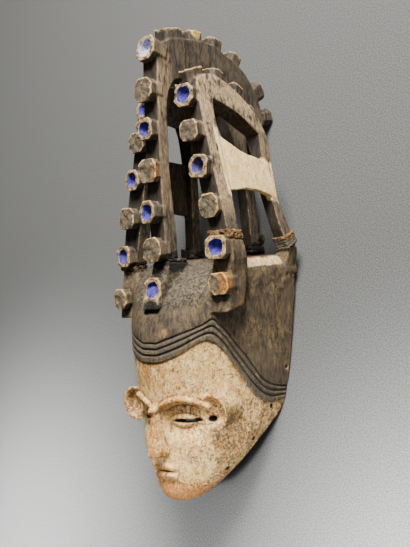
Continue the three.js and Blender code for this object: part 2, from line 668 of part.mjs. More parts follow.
addMesh("helmet", makeHelmet(), { color: 0xb9a58c, roughness: 0.8, metalness: 0 });
addMesh("arch_left", makeOuterArch(1, leftKnobs, 289 + FIT, LEFT_REAR_FOOT), WOOD);
addMesh("arch_right", makeOuterArch(-1, rightKnobs, 260 + FIT, RIGHT_REAR_FOOT), WOOD);
addMesh("arch_centre", makeCentreArch(centreKnobs), WOOD);
const FIBRE = { color: 0x5a4130, roughness: 0.9, metalness: 0 },
  PITCH = { color: 0x1c1917, roughness: 0.6, metalness: 0 };
addMesh("repair_left_front", solid(lean(slab([[-49.5, 287.7], [-42.2, 287.7], [-42.2, 284.9], [-31, 282.9], [-31.5, 289], [-49.5, 289]], ARCH_HALF - 0.5, 0), outerX)), FIBRE);
addMesh("repair_centre_front", solid(slab([[-65.4, 263.2], [-44, 262.8], [-44, 265.2], [-65.4, 265.2]], CENTRE_HALF - 0.5, 0.5)), PITCH);
addMesh("repair_right_front", solid(lean(slab([[-50, 256.8], [-32, 255], [-32, 260], [-50, 260]], ARCH_HALF - 0.5, 0.8), (y, z) => -outerX(y, z))), FIBRE);
addMesh("binding_left_rear", collar({ at: [rearX(60, 278) + 0.2, 56.7, 278], axis: [-0.11, -0.41, 1], w: 18.4, d: 17, thick: 3.4, tall: 13 }), FIBRE);
addMesh("binding_right_rear", collar({ at: [-rearX(60, 271) - 0.2, 61.4, 270.6], axis: [0.11, -0.06, 1], w: 19, d: 20.5, thick: 3.5, tall: 11, turns: 2 }), PITCH);
addMesh("binding_centre_rear", collar({ at: [centreX(71, 270) , 71.2, 269.6], axis: [0, 0.02, 1], w: 19.8, d: 20.8, thick: 3, tall: 8, turns: 2 }), PITCH);

export default group;
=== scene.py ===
import math

import bpy
import numpy as np
from mathutils import Matrix, Vector


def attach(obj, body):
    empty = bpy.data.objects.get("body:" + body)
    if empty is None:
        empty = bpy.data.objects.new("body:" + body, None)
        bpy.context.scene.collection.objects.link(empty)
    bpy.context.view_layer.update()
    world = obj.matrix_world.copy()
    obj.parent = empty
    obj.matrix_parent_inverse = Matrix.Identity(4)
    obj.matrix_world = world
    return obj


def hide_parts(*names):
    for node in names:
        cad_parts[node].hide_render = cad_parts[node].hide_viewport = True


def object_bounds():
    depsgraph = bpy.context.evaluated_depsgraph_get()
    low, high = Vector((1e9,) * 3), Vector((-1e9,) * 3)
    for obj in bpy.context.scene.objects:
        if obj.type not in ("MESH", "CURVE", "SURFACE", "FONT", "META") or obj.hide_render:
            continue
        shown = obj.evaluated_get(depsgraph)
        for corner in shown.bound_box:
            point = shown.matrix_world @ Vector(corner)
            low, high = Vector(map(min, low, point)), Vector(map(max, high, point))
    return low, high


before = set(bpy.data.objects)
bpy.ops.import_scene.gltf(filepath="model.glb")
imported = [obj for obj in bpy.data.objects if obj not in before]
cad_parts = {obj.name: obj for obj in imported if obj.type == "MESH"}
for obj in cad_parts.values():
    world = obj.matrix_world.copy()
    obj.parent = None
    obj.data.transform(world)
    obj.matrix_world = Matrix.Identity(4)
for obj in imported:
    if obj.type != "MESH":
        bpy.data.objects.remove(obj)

CAD_LO, CAD_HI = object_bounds()
F = np.float32

# ------------------------------------------------------------------ driving sizes, mm and degrees
WALL = 11.0
FACE_WALL = 12.0
CAP_TOP = 262.0
CAP_THICK = 17.0
HALF_WIDTH = 78.0
EDGE_LOW = (35.0, 90.0)
EDGE_HIGH = (74.0, 259.0)
LINTEL_Z = 236.0
ARCH_HALF = 13.2
CENTRE_HALF = 12.0
KNOB = 25.0
PANEL_THICK = 8.0
BROW_Z, NOSE_Z, MOUTH_Z = 108.0, 55.0, 37.0
EAR_Z, EAR_FRONT, EAR_ROOT = 102.0, -71.0, -34.0
EAR_RIM, EAR_BACK = (62.0, 21.0, 21.0), (58.0, 11.0, 14.0)
EAR_WALL, EAR_DEEP = 5.5, 12.0
LEFT_REAR_FOOT, RIGHT_REAR_FOOT, CENTRE_REAR_FOOT = 270.5, 263.5, 264.2
REAR_SLIM = 0.615
LIE_BACK = math.radians(-74.19)
LIE_SHIFT = np.array([0.47, -246.57, 9.163])

_c, _s = math.cos(LIE_BACK), math.sin(LIE_BACK)
LIE = np.array([[1, 0, 0], [0, _c, -_s], [0, _s, _c]])


def lay(v):
    """Mask frame, mm, to row frame, metres."""
    return (np.asarray(v, float) @ LIE.T + LIE_SHIFT) / 1000.0


# ------------------------------------------------------------------ small helpers
def lerp(a, b, t):
    return a + (b - a) * t


def clamp(v, a, b):
    return np.minimum(b, np.maximum(a, v))


def smooth(a, b, v):
    t = clamp((v - a) / (b - a), 0.0, 1.0)
    return t * t * (3 - 2 * t)


def bell(v, w):
    return np.exp(-(v * v) / (w * w))


def smin(a, b, k):
    h = clamp(0.5 + 0.5 * (b - a) / k, 0.0, 1.0)
    return lerp(b, a, h) - k * h * (1 - h)


def smax(a, b, k):
    return -smin(-a, -b, k)


def curve(*pairs):
    """A smooth curve through (t, value) pairs with monotone tangents, as a fast lookup."""
    t = [p[0] for p in pairs]
    v = [p[1] for p in pairs]
    n = len(t)
    d = [(v[i + 1] - v[i]) / (t[i + 1] - t[i]) for i in range(n - 1)]
    m = [d[0]]
    for i in range(1, n - 1):
        m.append(0 if d[i - 1] * d[i] <= 0 else 2 * d[i - 1] * d[i] / (d[i - 1] + d[i]))
    m.append(d[-1])
    xs, ys = [], []
    for i in range(n - 1):
        h = t[i + 1] - t[i]
        for j in range(24):
            s = j / 24
            s2, s3 = s * s, s ** 3
            xs.append(t[i] + s * h)
            ys.append((2 * s3 - 3 * s2 + 1) * v[i] + (s3 - 2 * s2 + s) * h * m[i] + (-2 * s3 + 3 * s2) * v[i + 1] + (s3 - s2) * h * m[i + 1])
    xs.append(t[-1])
    ys.append(v[-1])
    xs, ys = np.array(xs), np.array(ys)
    return lambda x: np.interp(x, xs, ys)


def along(places, steps=24):
    """Points along a smooth open line through a few places."""
    p = np.array(places, float)
    n = len(p)
    out = []
    for k in range(steps + 1):
        u = k / steps * (n - 1)
        i = min(int(u), n - 2)
        t = u - i
        p0, p1, p2, p3 = p[max(i - 1, 0)], p[i], p[i + 1], p[min(i + 2, n - 1)]
        v0, v1 = (p2 - p0) * 0.5, (p3 - p1) * 0.5
        out.append((2 * p1 - 2 * p2 + v0 + v1) * t ** 3 + (-3 * p1 + 3 * p2 - 2 * v0 - v1) * t * t + v0 * t + p1)
    return [list(q) for q in out]


_rng = np.random.default_rng(7)
TABLE = (_rng.random((64, 64, 64)) * 2 - 1).astype(F)


def noise(x, y, z, seed=0):
    """Smooth noise from -1 to 1 with a period of one unit between its knots."""
    out = 0
    ix, iy, iz = np.floor(x).astype(np.int32), np.floor(y).astype(np.int32), np.floor(z).astype(np.int32)
    fx, fy, fz = (x - ix).astype(F), (y - iy).astype(F), (z - iz).astype(F)
    fx, fy, fz = fx * fx * (3 - 2 * fx), fy * fy * (3 - 2 * fy), fz * fz * (3 - 2 * fz)
    ix, iy, iz = ix + seed * 17, iy + seed * 31, iz + seed * 47
    for a in (0, 1):
        wx = fx if a else 1 - fx
        for b in (0, 1):
            wy = fy if b else 1 - fy
            for c in (0, 1):
                wz = fz if c else 1 - fz
                out = out + TABLE[(ix + a) & 63, (iy + b) & 63, (iz + c) & 63] * wx * wy * wz
    return out


class Outline:
    """Signed distance to a closed outline in the Y-Z plane, from a fine table."""

    def __init__(self, pts, step=0.7, pad=26):
        p = np.array(pts, float)
        self.lo = p.min(0) - pad
        n = np.ceil((p.max(0) + pad - self.lo) / step).astype(int) + 2
        self.step = step
        gy, gz = np.meshgrid(self.lo[0] + np.arange(n[0]) * step, self.lo[1] + np.arange(n[1]) * step, indexing="ij")
        best = np.full(gy.shape, 1e9)
        inside = np.zeros(gy.shape, bool)
        for a, b in zip(p, np.roll(p, -1, 0)):
            e = b - a
            wy, wz = gy - a[0], gz - a[1]
            t = clamp((wy * e[0] + wz * e[1]) / max(e @ e, 1e-12), 0, 1)
            best = np.minimum(best, (wy - e[0] * t) ** 2 + (wz - e[1] * t) ** 2)
            if a[1] != b[1]:
                cross = ((a[1] > gz) != (b[1] > gz)) & (gy < e[0] * (gz - a[1]) / (b[1] - a[1]) + a[0])
                inside ^= cross
        d = np.sqrt(best)
        self.d = np.where(inside, -d, d).astype(F)

    def __call__(self, y, z):
        u = (y - self.lo[0]) / self.step
        v = (z - self.lo[1]) / self.step
        n0, n1 = self.d.shape
        cu, cv = clamp(u, 0, n0 - 1.001), clamp(v, 0, n1 - 1.001)
        i, j = cu.astype(np.int32), cv.astype(np.int32)
        fu, fv = cu - i, cv - j
        d = self.d
        out = (d[i, j] * (1 - fu) + d[i + 1, j] * fu) * (1 - fv) + (d[i, j + 1] * (1 - fu) + d[i + 1, j + 1] * fu) * fv
        return out + np.hypot(u - cu, v - cv) * self.step


def extrude(d2, dx, r):
    """Distance to an extrusion from its outline's distance and its thickness's, edges rounded by r."""
    a, b = d2 + r, dx + r
    return np.minimum(np.maximum(a, b), 0) + np.hypot(np.maximum(a, 0), np.maximum(b, 0)) - r


# ------------------------------------------------------------------ the head's shape
half_width = curve((0, 15), (8, 29), (20, 41), (35, 52), (55, 63), (75, 70), (95, 74), (120, 76.5), (150, HALF_WIDTH), (262, HALF_WIDTH - 0.5))
front_y = curve((0, -76), (8, -81), (20, -85), (45, -88.5), (80, -91), (120, -95), (160, -97.5), (185, -95), (203, -90), (218, -83), (231, -73), (242, -60), (252, -44), (262, -26))
widest_y = curve((0, -62), (10, -52), (20, -44), (35, -32), (55, -16), (75, -2), (95, 8), (120, 16), (150, 22), (262, 26))
front_power = curve((0, 2.1), (60, 2.1), (150, 2.2), (205, 2.5), (240, 3.4), (262, 5.5))


def _g(x, y, z, inset):
    w = half_width(z) - inset
    f = front_y(z) + inset * (FACE_WALL / WALL)
    c = widest_y(z)
    n = front_power(z)
    u = np.abs(x) / np.maximum(w, 2)
    v = np.maximum(c - y, 0) / np.maximum(c - f, 2)
    return (u ** n + v ** n + 1e-9) ** (1 / n), u, v, w, c - f, n


def head(x, y, z, inset=0.0):
    """About the distance to the plain head's wall, moved in by `inset`."""
    g, u, v, w, d, n = _g(x, y, z, inset)
    gx = (u / g) ** (n - 1) / w
    gy = (v / g) ** (n - 1) / d
    gz = (_g(x, y, z + 1.5, inset)[0] - _g(x, y, z - 1.5, inset)[0]) / 3.0
    return (g - 1) / np.sqrt(gx * gx + gy * gy + gz * gz + 1e-9)


# distance round the head from the face's middle, by height and direction
_ZS = np.arange(-10, 272, 4.0)
_PS = np.linspace(0, math.pi / 2, 121)
_ARC = np.zeros((len(_ZS), len(_PS)))
for _i, _z in enumerate(_ZS):
    _zz = max(_z, 0.0)
    _w, _f, _cc, _n = float(half_width(_zz)), float(front_y(_zz)), float(widest_y(_zz)), float(front_power(_zz))
    _x, _y = _w * np.sin(_PS) ** (2 / _n), _cc - (_cc - _f) * np.cos(_PS) ** (2 / _n)
    _ARC[_i, 1:] = np.cumsum(np.hypot(np.diff(_x), np.diff(_y)))


def round_head(x, y, z):
    """Distance round the head from the face's middle, always positive."""
    g, u, v, w, d, n = _g(x, y, z, 0.0)
    p = np.arctan2(u ** (n / 2), np.maximum(v, 1e-6) ** (n / 2))
    a = clamp((z + 10) / 4.0, 0, len(_ZS) - 1.001)
    b = clamp(p / (math.pi / 2) * (len(_PS) - 1), 0, len(_PS) - 1.001)
    i, j = a.astype(int), b.astype(int)
    fa, fb = a - i, b - j
    s = (_ARC[i, j] * (1 - fa) + _ARC[i + 1, j] * fa) * (1 - fb) + (_ARC[i, j + 1] * (1 - fa) + _ARC[i + 1, j + 1] * fa) * fb
    return s + np.maximum(y - widest_y(z), 0)


# the hairline's lower edge and its topmost groove, by distance round the head
hairline = curve((0, 156.4), (7, 156.5), (18, 158.3), (28, 161.4), (39, 165.8), (50, 172), (60.5, 177), (66, 178), (75.7, 174.5), (84.4, 166), (92.7, 153.5), (101, 139.7), (109.4, 124.2), (119, 111.4), (130, 102.9), (147, 97.3), (160, 97.8), (190, 99))
hairtop = curve((0, 177.2), (8, 176.8), (21, 180.4), (39, 186.4), (54, 191.4), (64, 195.4), (72, 199.3), (80, 193.4), (90, 184), (99.4, 171.5), (111.4, 157), (123, 139.8), (133, 126.8), (146, 118.9), (164, 113.7), (190, 110))


def along_hair(s, z, share):
    """Distance above a line that runs between the hairline and its topmost groove."""
    def at(q):
        return lerp(hairline(q), hairtop(q), share)
    h = (at(s + 1.5) - at(s - 1.5)) / 3.0
    return (z - at(s)) / np.sqrt(1 + h * h)


def groove_depth(s, z):
    """Three incised lines that follow the hairline."""
    d = 0
    for share in (0.37, 0.69, 1.0):
        d = d + 1.9 * bell(along_hair(s, z, share), 1.0)
    return d


def hair_cos(s):
    h = (hairline(s + 1.5) - hairline(s - 1.5)) / 3.0
    return 1 / np.sqrt(1 + h * h)


def face_relief(s, x, z):
    """Relief of the face over the plain head."""
    a = s
    brow = BROW_Z + 9 * np.sin(clamp((a - 5) / 55, 0, 1) * math.pi) - 3 * smooth(0, 10, 10 - a)
    r = 4.6 * np.exp(-np.abs((z - brow) / 3.6) ** 3) * smooth(72, 60, a)
    hollow = smooth(brow - 2, brow - 8, z) * smooth(NOSE_Z + 12, NOSE_Z + 34, z)
    r = r - 6.5 * hollow * smooth(6, 14, a) * smooth(60, 44, a)
    # eye: a lid like an almond with a slit across it
    ex, ez = (a - 31) / 17.0, (z - (BROW_Z - 15)) / 8.0
    lid = clamp(1 - ex * ex - ez * ez, 0, 1)
    r = r + 4.2 * np.sqrt(lid) * smooth(0, 0.12, lid)
    rim = np.abs(np.sqrt(ex * ex + ez * ez) - 0.62)
    r = r + 0.7 * bell(rim, 0.12) * smooth(1.0, 0.75, np.abs(ex))
    # nose
    down = clamp((BROW_Z + 2 - z) / (BROW_Z + 2 - NOSE_Z), 0, 1)
    wide = lerp(6.0, 8.5, down ** 1.6) + 3.6 * bell(z - (NOSE_Z + 6.5), 6.5)
    high = lerp(5.0, 18.2, down ** 0.9)
    under = smooth(NOSE_Z - 2.5, NOSE_Z + 1.0, z)
    root = smooth(BROW_Z + 9, BROW_Z - 6, z)
    prof = clamp(1 - (a / wide), 0, 1)
    r = r + high * under * root * smooth(0, 0.72, prof)
    # groove over the nose's wings
    r = r - 0.9 * bell(a - (wide - 3.4), 1.4) * bell(z - (NOSE_Z + 9), 6)
    # cheeks, groove under the nose, lips, chin
    r = r + 2.2 * bell(a - 42, 17) * bell(z - 62, 20)
    r = r - 1.0 * bell(a, 2.6) * smooth(MOUTH_Z + 8, MOUTH_Z + 11, z) * smooth(NOSE_Z - 2, NOSE_Z - 5, z)
    end = smooth(22, 13, a)
    bow = 1.5 * bell(a - 5, 4) - 0.6 * bell(a, 2.2)
    r = r + 4.4 * np.exp(-np.abs((z - (MOUTH_Z + 4.6 + 0.4 * bow)) / 4.0) ** 2.6) * end
    r = r + 4.7 * np.exp(-np.abs((z - (MOUTH_Z - 5.0)) / 4.3) ** 2.4) * smooth(20, 11, a)
    r = r - 2.0 * bell(z - (MOUTH_Z - 13), 4) * smooth(24, 8, a)
    r = r + 3.0 * bell(a, 15) * bell(z - 11, 9)
    return r


def roof(x, y):
    return (CAP_TOP + 1.2 - 0.0003 * x * x - 0.0032 * np.maximum(0, -6 - y) ** 2
            - 1.15 * np.maximum(0, np.abs(x) - (HALF_WIDTH - 9)) - 0.25 * np.maximum(0, y - 66))


# ------------------------------------------------------------------ places of the crest
def outer_x(y, z):
    t = clamp((y + 40) / 95, -0.3, 1.3)
    return lerp(74 - 0.229 * (z - 274), 74 - 0.115 * (z - 274), t)


def slim(y, z):
    return lerp(1, REAR_SLIM, smooth(8, 34, y) * smooth(428, 372, z))


def rear_x(y, z):
    return outer_x(y, z) + (ARCH_HALF - 3) * (1 - REAR_SLIM) - 2


def centre_slim(y, z):
    return lerp(1, 0.68, smooth(10, 44, y) * smooth(440, 396, z))


def centre_x(y, z):
    return smooth(-10, 60, y) * (4 + 9 * (1 - clamp((z - 270) / 170, 0, 1)))


class Knob:
    """A short squared knob with cut corners, some with a cup cut into the end."""

    def __init__(self, at, direction, rise, size=KNOB, tall=KNOB, turn=0, cup=False, blue=None, pale=0.0, flare=True, seed=0):
        z = np.array(direction, float)
        z /= np.linalg.norm(z)
        x = np.array([1.0, 0, 0]) - z * z[0]
        x /= np.linalg.norm(x)
        y = np.cross(z, x)
        t = math.radians(turn)
        self.m = np.array([x * math.cos(t) + y * math.sin(t), -x * math.sin(t) + y * math.cos(t), z])
        self.at = np.array(at, float)
        self.rise, self.size, self.tall, self.cup = rise, size, tall, cup
        self.blue = (1.0 if cup else 0.0) if blue is None else blue
        self.pale = pale
        self.flare = flare
        self.seed = seed
        self.lip = 3.9 if size > 21 else 3.4
        self.reach = math.hypot(max(size, tall) * 0.75, rise + 7) + 4

    def local(self, p):
        return (p - self.at) @ self.m.T

    def cup_rho(self, q):
        a, b = self.size / 2 - self.lip, self.tall / 2 - self.lip
        x, y = q[:, 0] + 0.6 * math.sin(self.seed * 2.3), q[:, 1] + 0.6 * math.cos(self.seed * 3.1)
        turn = np.arctan2(y, x)
        grow = 1 + 0.035 * np.sin(3 * turn + self.seed) + 0.025 * np.sin(5 * turn + 2.0 * self.seed)
        return (np.abs(x / a) ** 2.3 + np.abs(y / b) ** 2.3 + 1e-9) ** (1 / 2.3) / grow

    @property
    def deep(self):
        return min(10.0, self.rise * 0.7)

    def field(self, p):
        q = self.local(p)
        x, y, z = q[:, 0], q[:, 1], q[:, 2]
        wob = 0.9 * noise(q[:, 0] / 9 + self.seed, q[:, 1] / 9, q[:, 2] / 14, self.seed % 9) + 0.35 * noise(q[:, 0] / 3.1, q[:, 1] / 3.1, q[:, 2] / 9, self.seed % 7)
        grow = -0.9 + 0.9 * clamp(z / max(self.rise - 2, 1), 0, 1) if self.flare else 0.0
        a, b = self.size / 2 + grow, self.tall / 2 + grow
        c = (0.23 + 0.04 * math.sin(self.seed * 1.7)) * min(self.size, self.tall)
        d2 = np.maximum(np.maximum(np.abs(x) - a, np.abs(y) - b), (np.abs(x) + np.abs(y) - (a + b - c)) * 0.7071)
        end = self.rise - 1.0 + 1.1 * noise(x / 6, y / 6, z * 0, self.seed % 9) + 0.45 * noise(x / 2.2, y / 2.2, z * 0, self.seed % 5)
        d = extrude(d2 + 0.4 * wob, np.maximum(z - end, -7 - z), 0.9)
        if self.cup:
            rho = self.cup_rho(q)
            a0 = self.size / 2 - self.lip
            hole = np.maximum((rho - 1) * a0 * 0.85, self.rise - self.deep * (1 - clamp(rho, 0, 1) ** 4) - z)
            d = smax(d, -hole, 0.8)
        return d


def add_knobs(d, p, knobs, k=2.0):
    for kn in knobs:
        near = np.nonzero(((p - kn.at) ** 2).sum(1) < kn.reach ** 2)[0]
        if len(near):
            d[near] = smin(d[near], kn.field(p[near]).astype(d.dtype), k)
    return d


# ------------------------------------------------------------------ outlines
def outer_outline(side, foot, rear_foot):
    """An outer arch seen from the side: the left one slopes down to the back, the right one stays high."""
    out = along([[-50, foot], [-48, 340], [-45, 400], [-43, 448]])
    if side > 0:
        out += along([[-40, 460], [-27, 466], [-13, 465], [5, 453], [20, 439.5], [33, 423], [42, 407.5], [46.5, 396]], 42)
        out += along([[48, 385], [47.3, 360], [47, 340], [48.5, 324], [53.5, 309], [60, 290]], 24)
        out += [[68, rear_foot], [51.5, rear_foot]]
        out += along([[43.5, 290], [39, 312], [34.5, 340], [33, 375], [33, 400]], 20)
        out += along([[20, 411], [8, 421], [-8, 430], [-23, 437]], 20)
    else:
        out += along([[-40, 460], [-27, 466], [-8, 468], [12, 468], [30, 463], [46, 452], [55, 436], [58, 418]], 42)
        out += along([[60, 392], [63, 360], [65.5, 325], [68, 290]], 16)
        out += [[70.5, rear_foot], [54, rear_foot]]
        out += along([[53, 290], [51, 320], [49, 345], [46, 375], [42, 400], [38, 418]], 24)
        out += along([[32, 428], [16, 430], [0, 432], [-14, 434], [-23, 437]], 20)
    out += along([[-26, 420], [-28, 380], [-29, 330], [-32, foot]], 20)
    return Outline(out)


PANEL_L = Outline(along([[-33, 401], [-14, 389], [2, 379.5], [18, 374], [32, 369.5], [45, 365]], 24) + along([[45.5, 325], [34, 329.5], [18, 334.5], [0, 337], [-12, 336], [-33, 334]], 24))
PANEL_R = Outline(along([[-33, 398], [-14, 391], [2, 387], [20, 385], [54, 384]], 24) + along([[56, 319], [22, 323], [4, 327], [-12, 330], [-33, 333]], 24))
CENTRE = Outline(
    along([[-72.5, 265.5], [-73, 300], [-72.5, 340], [-71.5, 376], [-69.5, 420], [-67, 460], [-65, 486]], 28)
    + along([[-60, 500], [-44, 509.5], [-20, 514], [10, 515.5], [30, 513], [45, 505.5], [60, 499], [84, 484], [101, 460], [110, 440], [113, 428]], 52)
    + along([[106, 419], [84, 414], [76, 400]], 12)
    + along([[79, 370], [82, 340], [82, 310], [80, CENTRE_REAR_FOOT]], 16)
    + along([[62, CENTRE_REAR_FOOT], [64, 300], [65, 330], [63, 360], [55, 392], [47, 414]], 24)
    + along([[42, 433], [30, 453], [10, 464], [-15, 467], [-38, 464], [-49, 451]], 36)
    + along([[-52.5, 440], [-55, 410], [-57, 370], [-56, 340], [-54, 300], [-54, 265.5]], 24)
)


def forward(z=0.05):
    return [0.04, -1, z]


LEFT_KNOBS = [
    dict(foot=[-44, 440], dir=[0.1, -1, 0.12], rise=11, size=26, tall=26, cup=True),
    dict(foot=[-47, 401], dir=forward(), rise=13, size=25, tall=23, pale=0.2),
    dict(foot=[-47, 361], dir=forward(0.1), rise=12.5, size=25, tall=25, turn=-8, cup=True, blue=0.5),
    dict(foot=[-49, 319], dir=forward(), rise=9, size=26, tall=26, turn=3, pale=0.35),
    dict(foot=[-33, 463], dir=[0, -0.25, 1], rise=10, size=20, tall=28, pale=0.3),
    dict(foot=[-8, 461], dir=[0, 0.22, 1], rise=12, size=20, tall=22),
    dict(foot=[15, 446], dir=[0, 0.55, 1], rise=11, size=20, tall=19),
    dict(foot=[31, 428], dir=[0, 0.8, 1], rise=6, size=18, tall=14),
]
RIGHT_KNOBS = [
    dict(foot=[-44, 438], dir=[0.05, -1, 0.1], rise=6, size=19, tall=19, cup=True),
    dict(foot=[-45.5, 402], dir=forward(), rise=10, size=25, tall=23),
    dict(foot=[-47, 360], dir=forward(), rise=10, size=24, tall=24, cup=True),
    dict(foot=[-49, 316], dir=forward(), rise=12, size=26, tall=25),
    dict(foot=[-50.5, 272], dir=[0.08, -1, 0.05], rise=10, size=24, tall=25, cup=True),
    dict(foot=[-33, 463], dir=[0, -0.2, 1], rise=10, size=20, tall=24, flare=False),
    dict(foot=[-5, 465], dir=[0, 0.05, 1], rise=12, size=20, tall=22, flare=False),
    dict(foot=[21, 463], dir=[0, 0.3, 1], rise=12, size=20, tall=22, flare=False),
    dict(foot=[47, 447], dir=[0, 0.9, 1], rise=10, size=19, tall=20, flare=False),
]
CENTRE_KNOBS = [
    dict(foot=[-57, 494.5], dir=[0, -1, 0.26], rise=15, size=28, tall=28, cup=True),
    dict(foot=[-67.5, 451], dir=[0, -1, 0.03], rise=12.5, size=27, tall=26, pale=0.25),
    dict(foot=[-70.5, 408], dir=[0, -1, 0.03], rise=12, size=24, tall=24, cup=True),
    dict(foot=[-72, 363], dir=[0.1, -1, 0.03], rise=11, size=24, tall=26, pale=0.45),
    dict(foot=[-73, 318], dir=[-0.12, -1, 0.05], rise=13.5, size=25, tall=25, cup=True),
    dict(foot=[-73, 276.5], dir=[0, -1, 0.05], rise=12, size=27, tall=27, turn=6, pale=0.3),
    dict(foot=[-31, 511], dir=[0, -0.12, 1], rise=14, size=20, tall=31, flare=False),
    dict(foot=[4, 514], dir=[0, 0.02, 1], rise=14, size=19, tall=23, turn=5, flare=False),
    dict(foot=[35, 510.5], dir=[0, 0.25, 1], rise=13, size=20, tall=24, flare=False),
    dict(foot=[65, 497], dir=[0, 0.6, 1], rise=13, size=20, tall=22, flare=False),
    dict(foot=[100, 463], dir=[0, 1, 0.62], rise=17, size=24, tall=24),
    dict(foot=[113, 436], dir=[0, 1, 0.18], rise=17, size=24, tall=21),
    dict(foot=[81, 284.5], dir=[0, 1, -0.1], rise=7, size=20, tall=15),
]


def make_knobs(rows, x_at, mirror=1, seed=0):
    out = []
    for i, k in enumerate(rows):
        k = dict(k)
        f = k.pop("foot")
        d = list(k.pop("dir"))
        d[0] *= mirror
        if "turn" in k:
            k["turn"] *= mirror
        out.append(Knob([mirror * float(x_at(np.array(f[0], float), np.array(f[1], float))), f[0], f[1]], d, seed=seed + i, **k))
    return out


KN_LEFT = make_knobs(LEFT_KNOBS, outer_x, 1, 1)
KN_RIGHT = make_knobs(RIGHT_KNOBS, outer_x, -1, 21)
KN_CENTRE = make_knobs(CENTRE_KNOBS, centre_x, 1, 41)
KN_HELMET = [
    Knob([0, -70, 234], [0, -1, 0.04], 17, 25, 25, cup=True, seed=61),
    Knob([74, -51, 274], [0.1, -1, 0.08], 14, 26, 25, cup=True, seed=62),
    Knob([76, -53, 237], [0.08, -1, 0], 14, 25, 23, turn=4, pale=0.8, seed=63),
    Knob([-75, -54, 223], [-0.08, -1, 0], 16, 24, 24, pale=0.3, seed=64),
]


# ------------------------------------------------------------------ the fields
def tool_marks(x, y, z, amount=1.0, seed=3):
    """Low facets and fine ridges that run with the grain, which is the mask's Z."""
    m = 0.5 * noise(x / 11, y / 11, z / 26, seed) + 0.22 * noise(x / 3.6, y / 3.6, z / 15, seed + 1)
    return amount * m


def chips(x, y, z, level, reach=5.0, seed=11):
    """Rough broken wood near the height `level`."""
    near = bell(z - level, reach)
    return near * (1.1 * noise(x / 3.2, y / 3.2, z / 4.0, seed) + 0.7 * noise(x / 1.6, y / 1.6, z / 2.4, seed + 1))


OUTLINE_L = outer_outline(1, 289.3, LEFT_REAR_FOOT)
OUTLINE_R = outer_outline(-1, 260.3, RIGHT_REAR_FOOT)


def outer_arch(side):
    foot, rear = (289.3, LEFT_REAR_FOOT) if side > 0 else (260.3, RIGHT_REAR_FOOT)
    outline = OUTLINE_L if side > 0 else OUTLINE_R
    panel = PANEL_L if side > 0 else PANEL_R
    knobs = KN_LEFT if side > 0 else KN_RIGHT

    def field(p):
        x, y, z = p[:, 0] * side, p[:, 1], p[:, 2]
        off, k = outer_x(y, z), slim(y, z)
        inset = (1 - k) / (1 - REAR_SLIM) * (rear_x(y, z) - off)
        marks = tool_marks(p[:, 0], y, z, 1.0, 3 if side > 0 else 5)
        d = extrude(outline(y, z) + 0.3, np.abs(x - off - inset) - ARCH_HALF * k + 0.3, 1.7)
        dp = extrude(panel(y, z), np.abs(x - off - 6.7) - PANEL_THICK / 2, 1.2)
        d = smin(d, dp, 1.8)
        # the foot's underside stays flat, as the cut or the break left it
        d = d + 0.7 * marks
        d = smax(d, foot - 0.05 - z - 60 * smooth(0, 12, y), 1.0)
        d = d + chips(p[:, 0], y, z, foot, 4.0) * smooth(0, -20, y)
        return add_knobs(d, p, knobs)

    return field


def centre_arch(p):
    x, y, z = p[:, 0], p[:, 1], p[:, 2]
    marks = tool_marks(x, y, z, 1.0, 7)
    d = extrude(CENTRE(y, z) + 0.3, np.abs(x - centre_x(y, z)) - CENTRE_HALF * centre_slim(y, z) + 0.3, 1.7)
    d = d + 0.7 * marks + chips(x, y, z, 265.5, 4.0) * smooth(0, -20, y)
    return add_knobs(d, p, KN_CENTRE)


def into_wall(z):
    return 5 * smooth(276, 244, z)


JAW = along([[-66, -3], [-54, 8], [-30, 30], [2, 62], [24, 80], list(EDGE_LOW)], 48)


def rear_edge(z):
    return lerp(EDGE_LOW[0], EDGE_HIGH[0], (z - EDGE_LOW[1]) / (EDGE_HIGH[1] - EDGE_LOW[1]))


RIM = Outline(JAW + [[rear_edge(LINTEL_Z + 2), LINTEL_Z + 2], [160, LINTEL_Z + 2], [160, -60], [-66, -60]], step=0.8)
LEFT_STUMP = Outline([[-62, 207], [-34, 212], [-24, 250], [-30, 281.2], [-50.5, 284.9], [-54, 250]])
RIGHT_STUMP = Outline([[-62, 200], [-34, 206], [-24, 240], [-31, 254.6], [-51, 256.6], [-56, 240]])
FRONT_STUMP = Outline([[-93, 212.5], [-62, 216], [-38, 240], [-40, 262.2], [-72, 263], [-77, 245], [-91, 225]])


def rear_stump(top, dy=0):
    return Outline([[48, 240], [72, 240], [70.5 + dy, top], [54 + dy, top]])


REAR_L = rear_stump(LEFT_REAR_FOOT - 0.3, -2)
REAR_R = rear_stump(RIGHT_REAR_FOOT - 0.3)
REAR_C = Outline([[56, 246], [79, 246], [80, CENTRE_REAR_FOOT - 0.3], [60, CENTRE_REAR_FOOT - 0.3]])
HOLES = [(-42, 35), (-12, 62), (13, 94), (39, 134)]


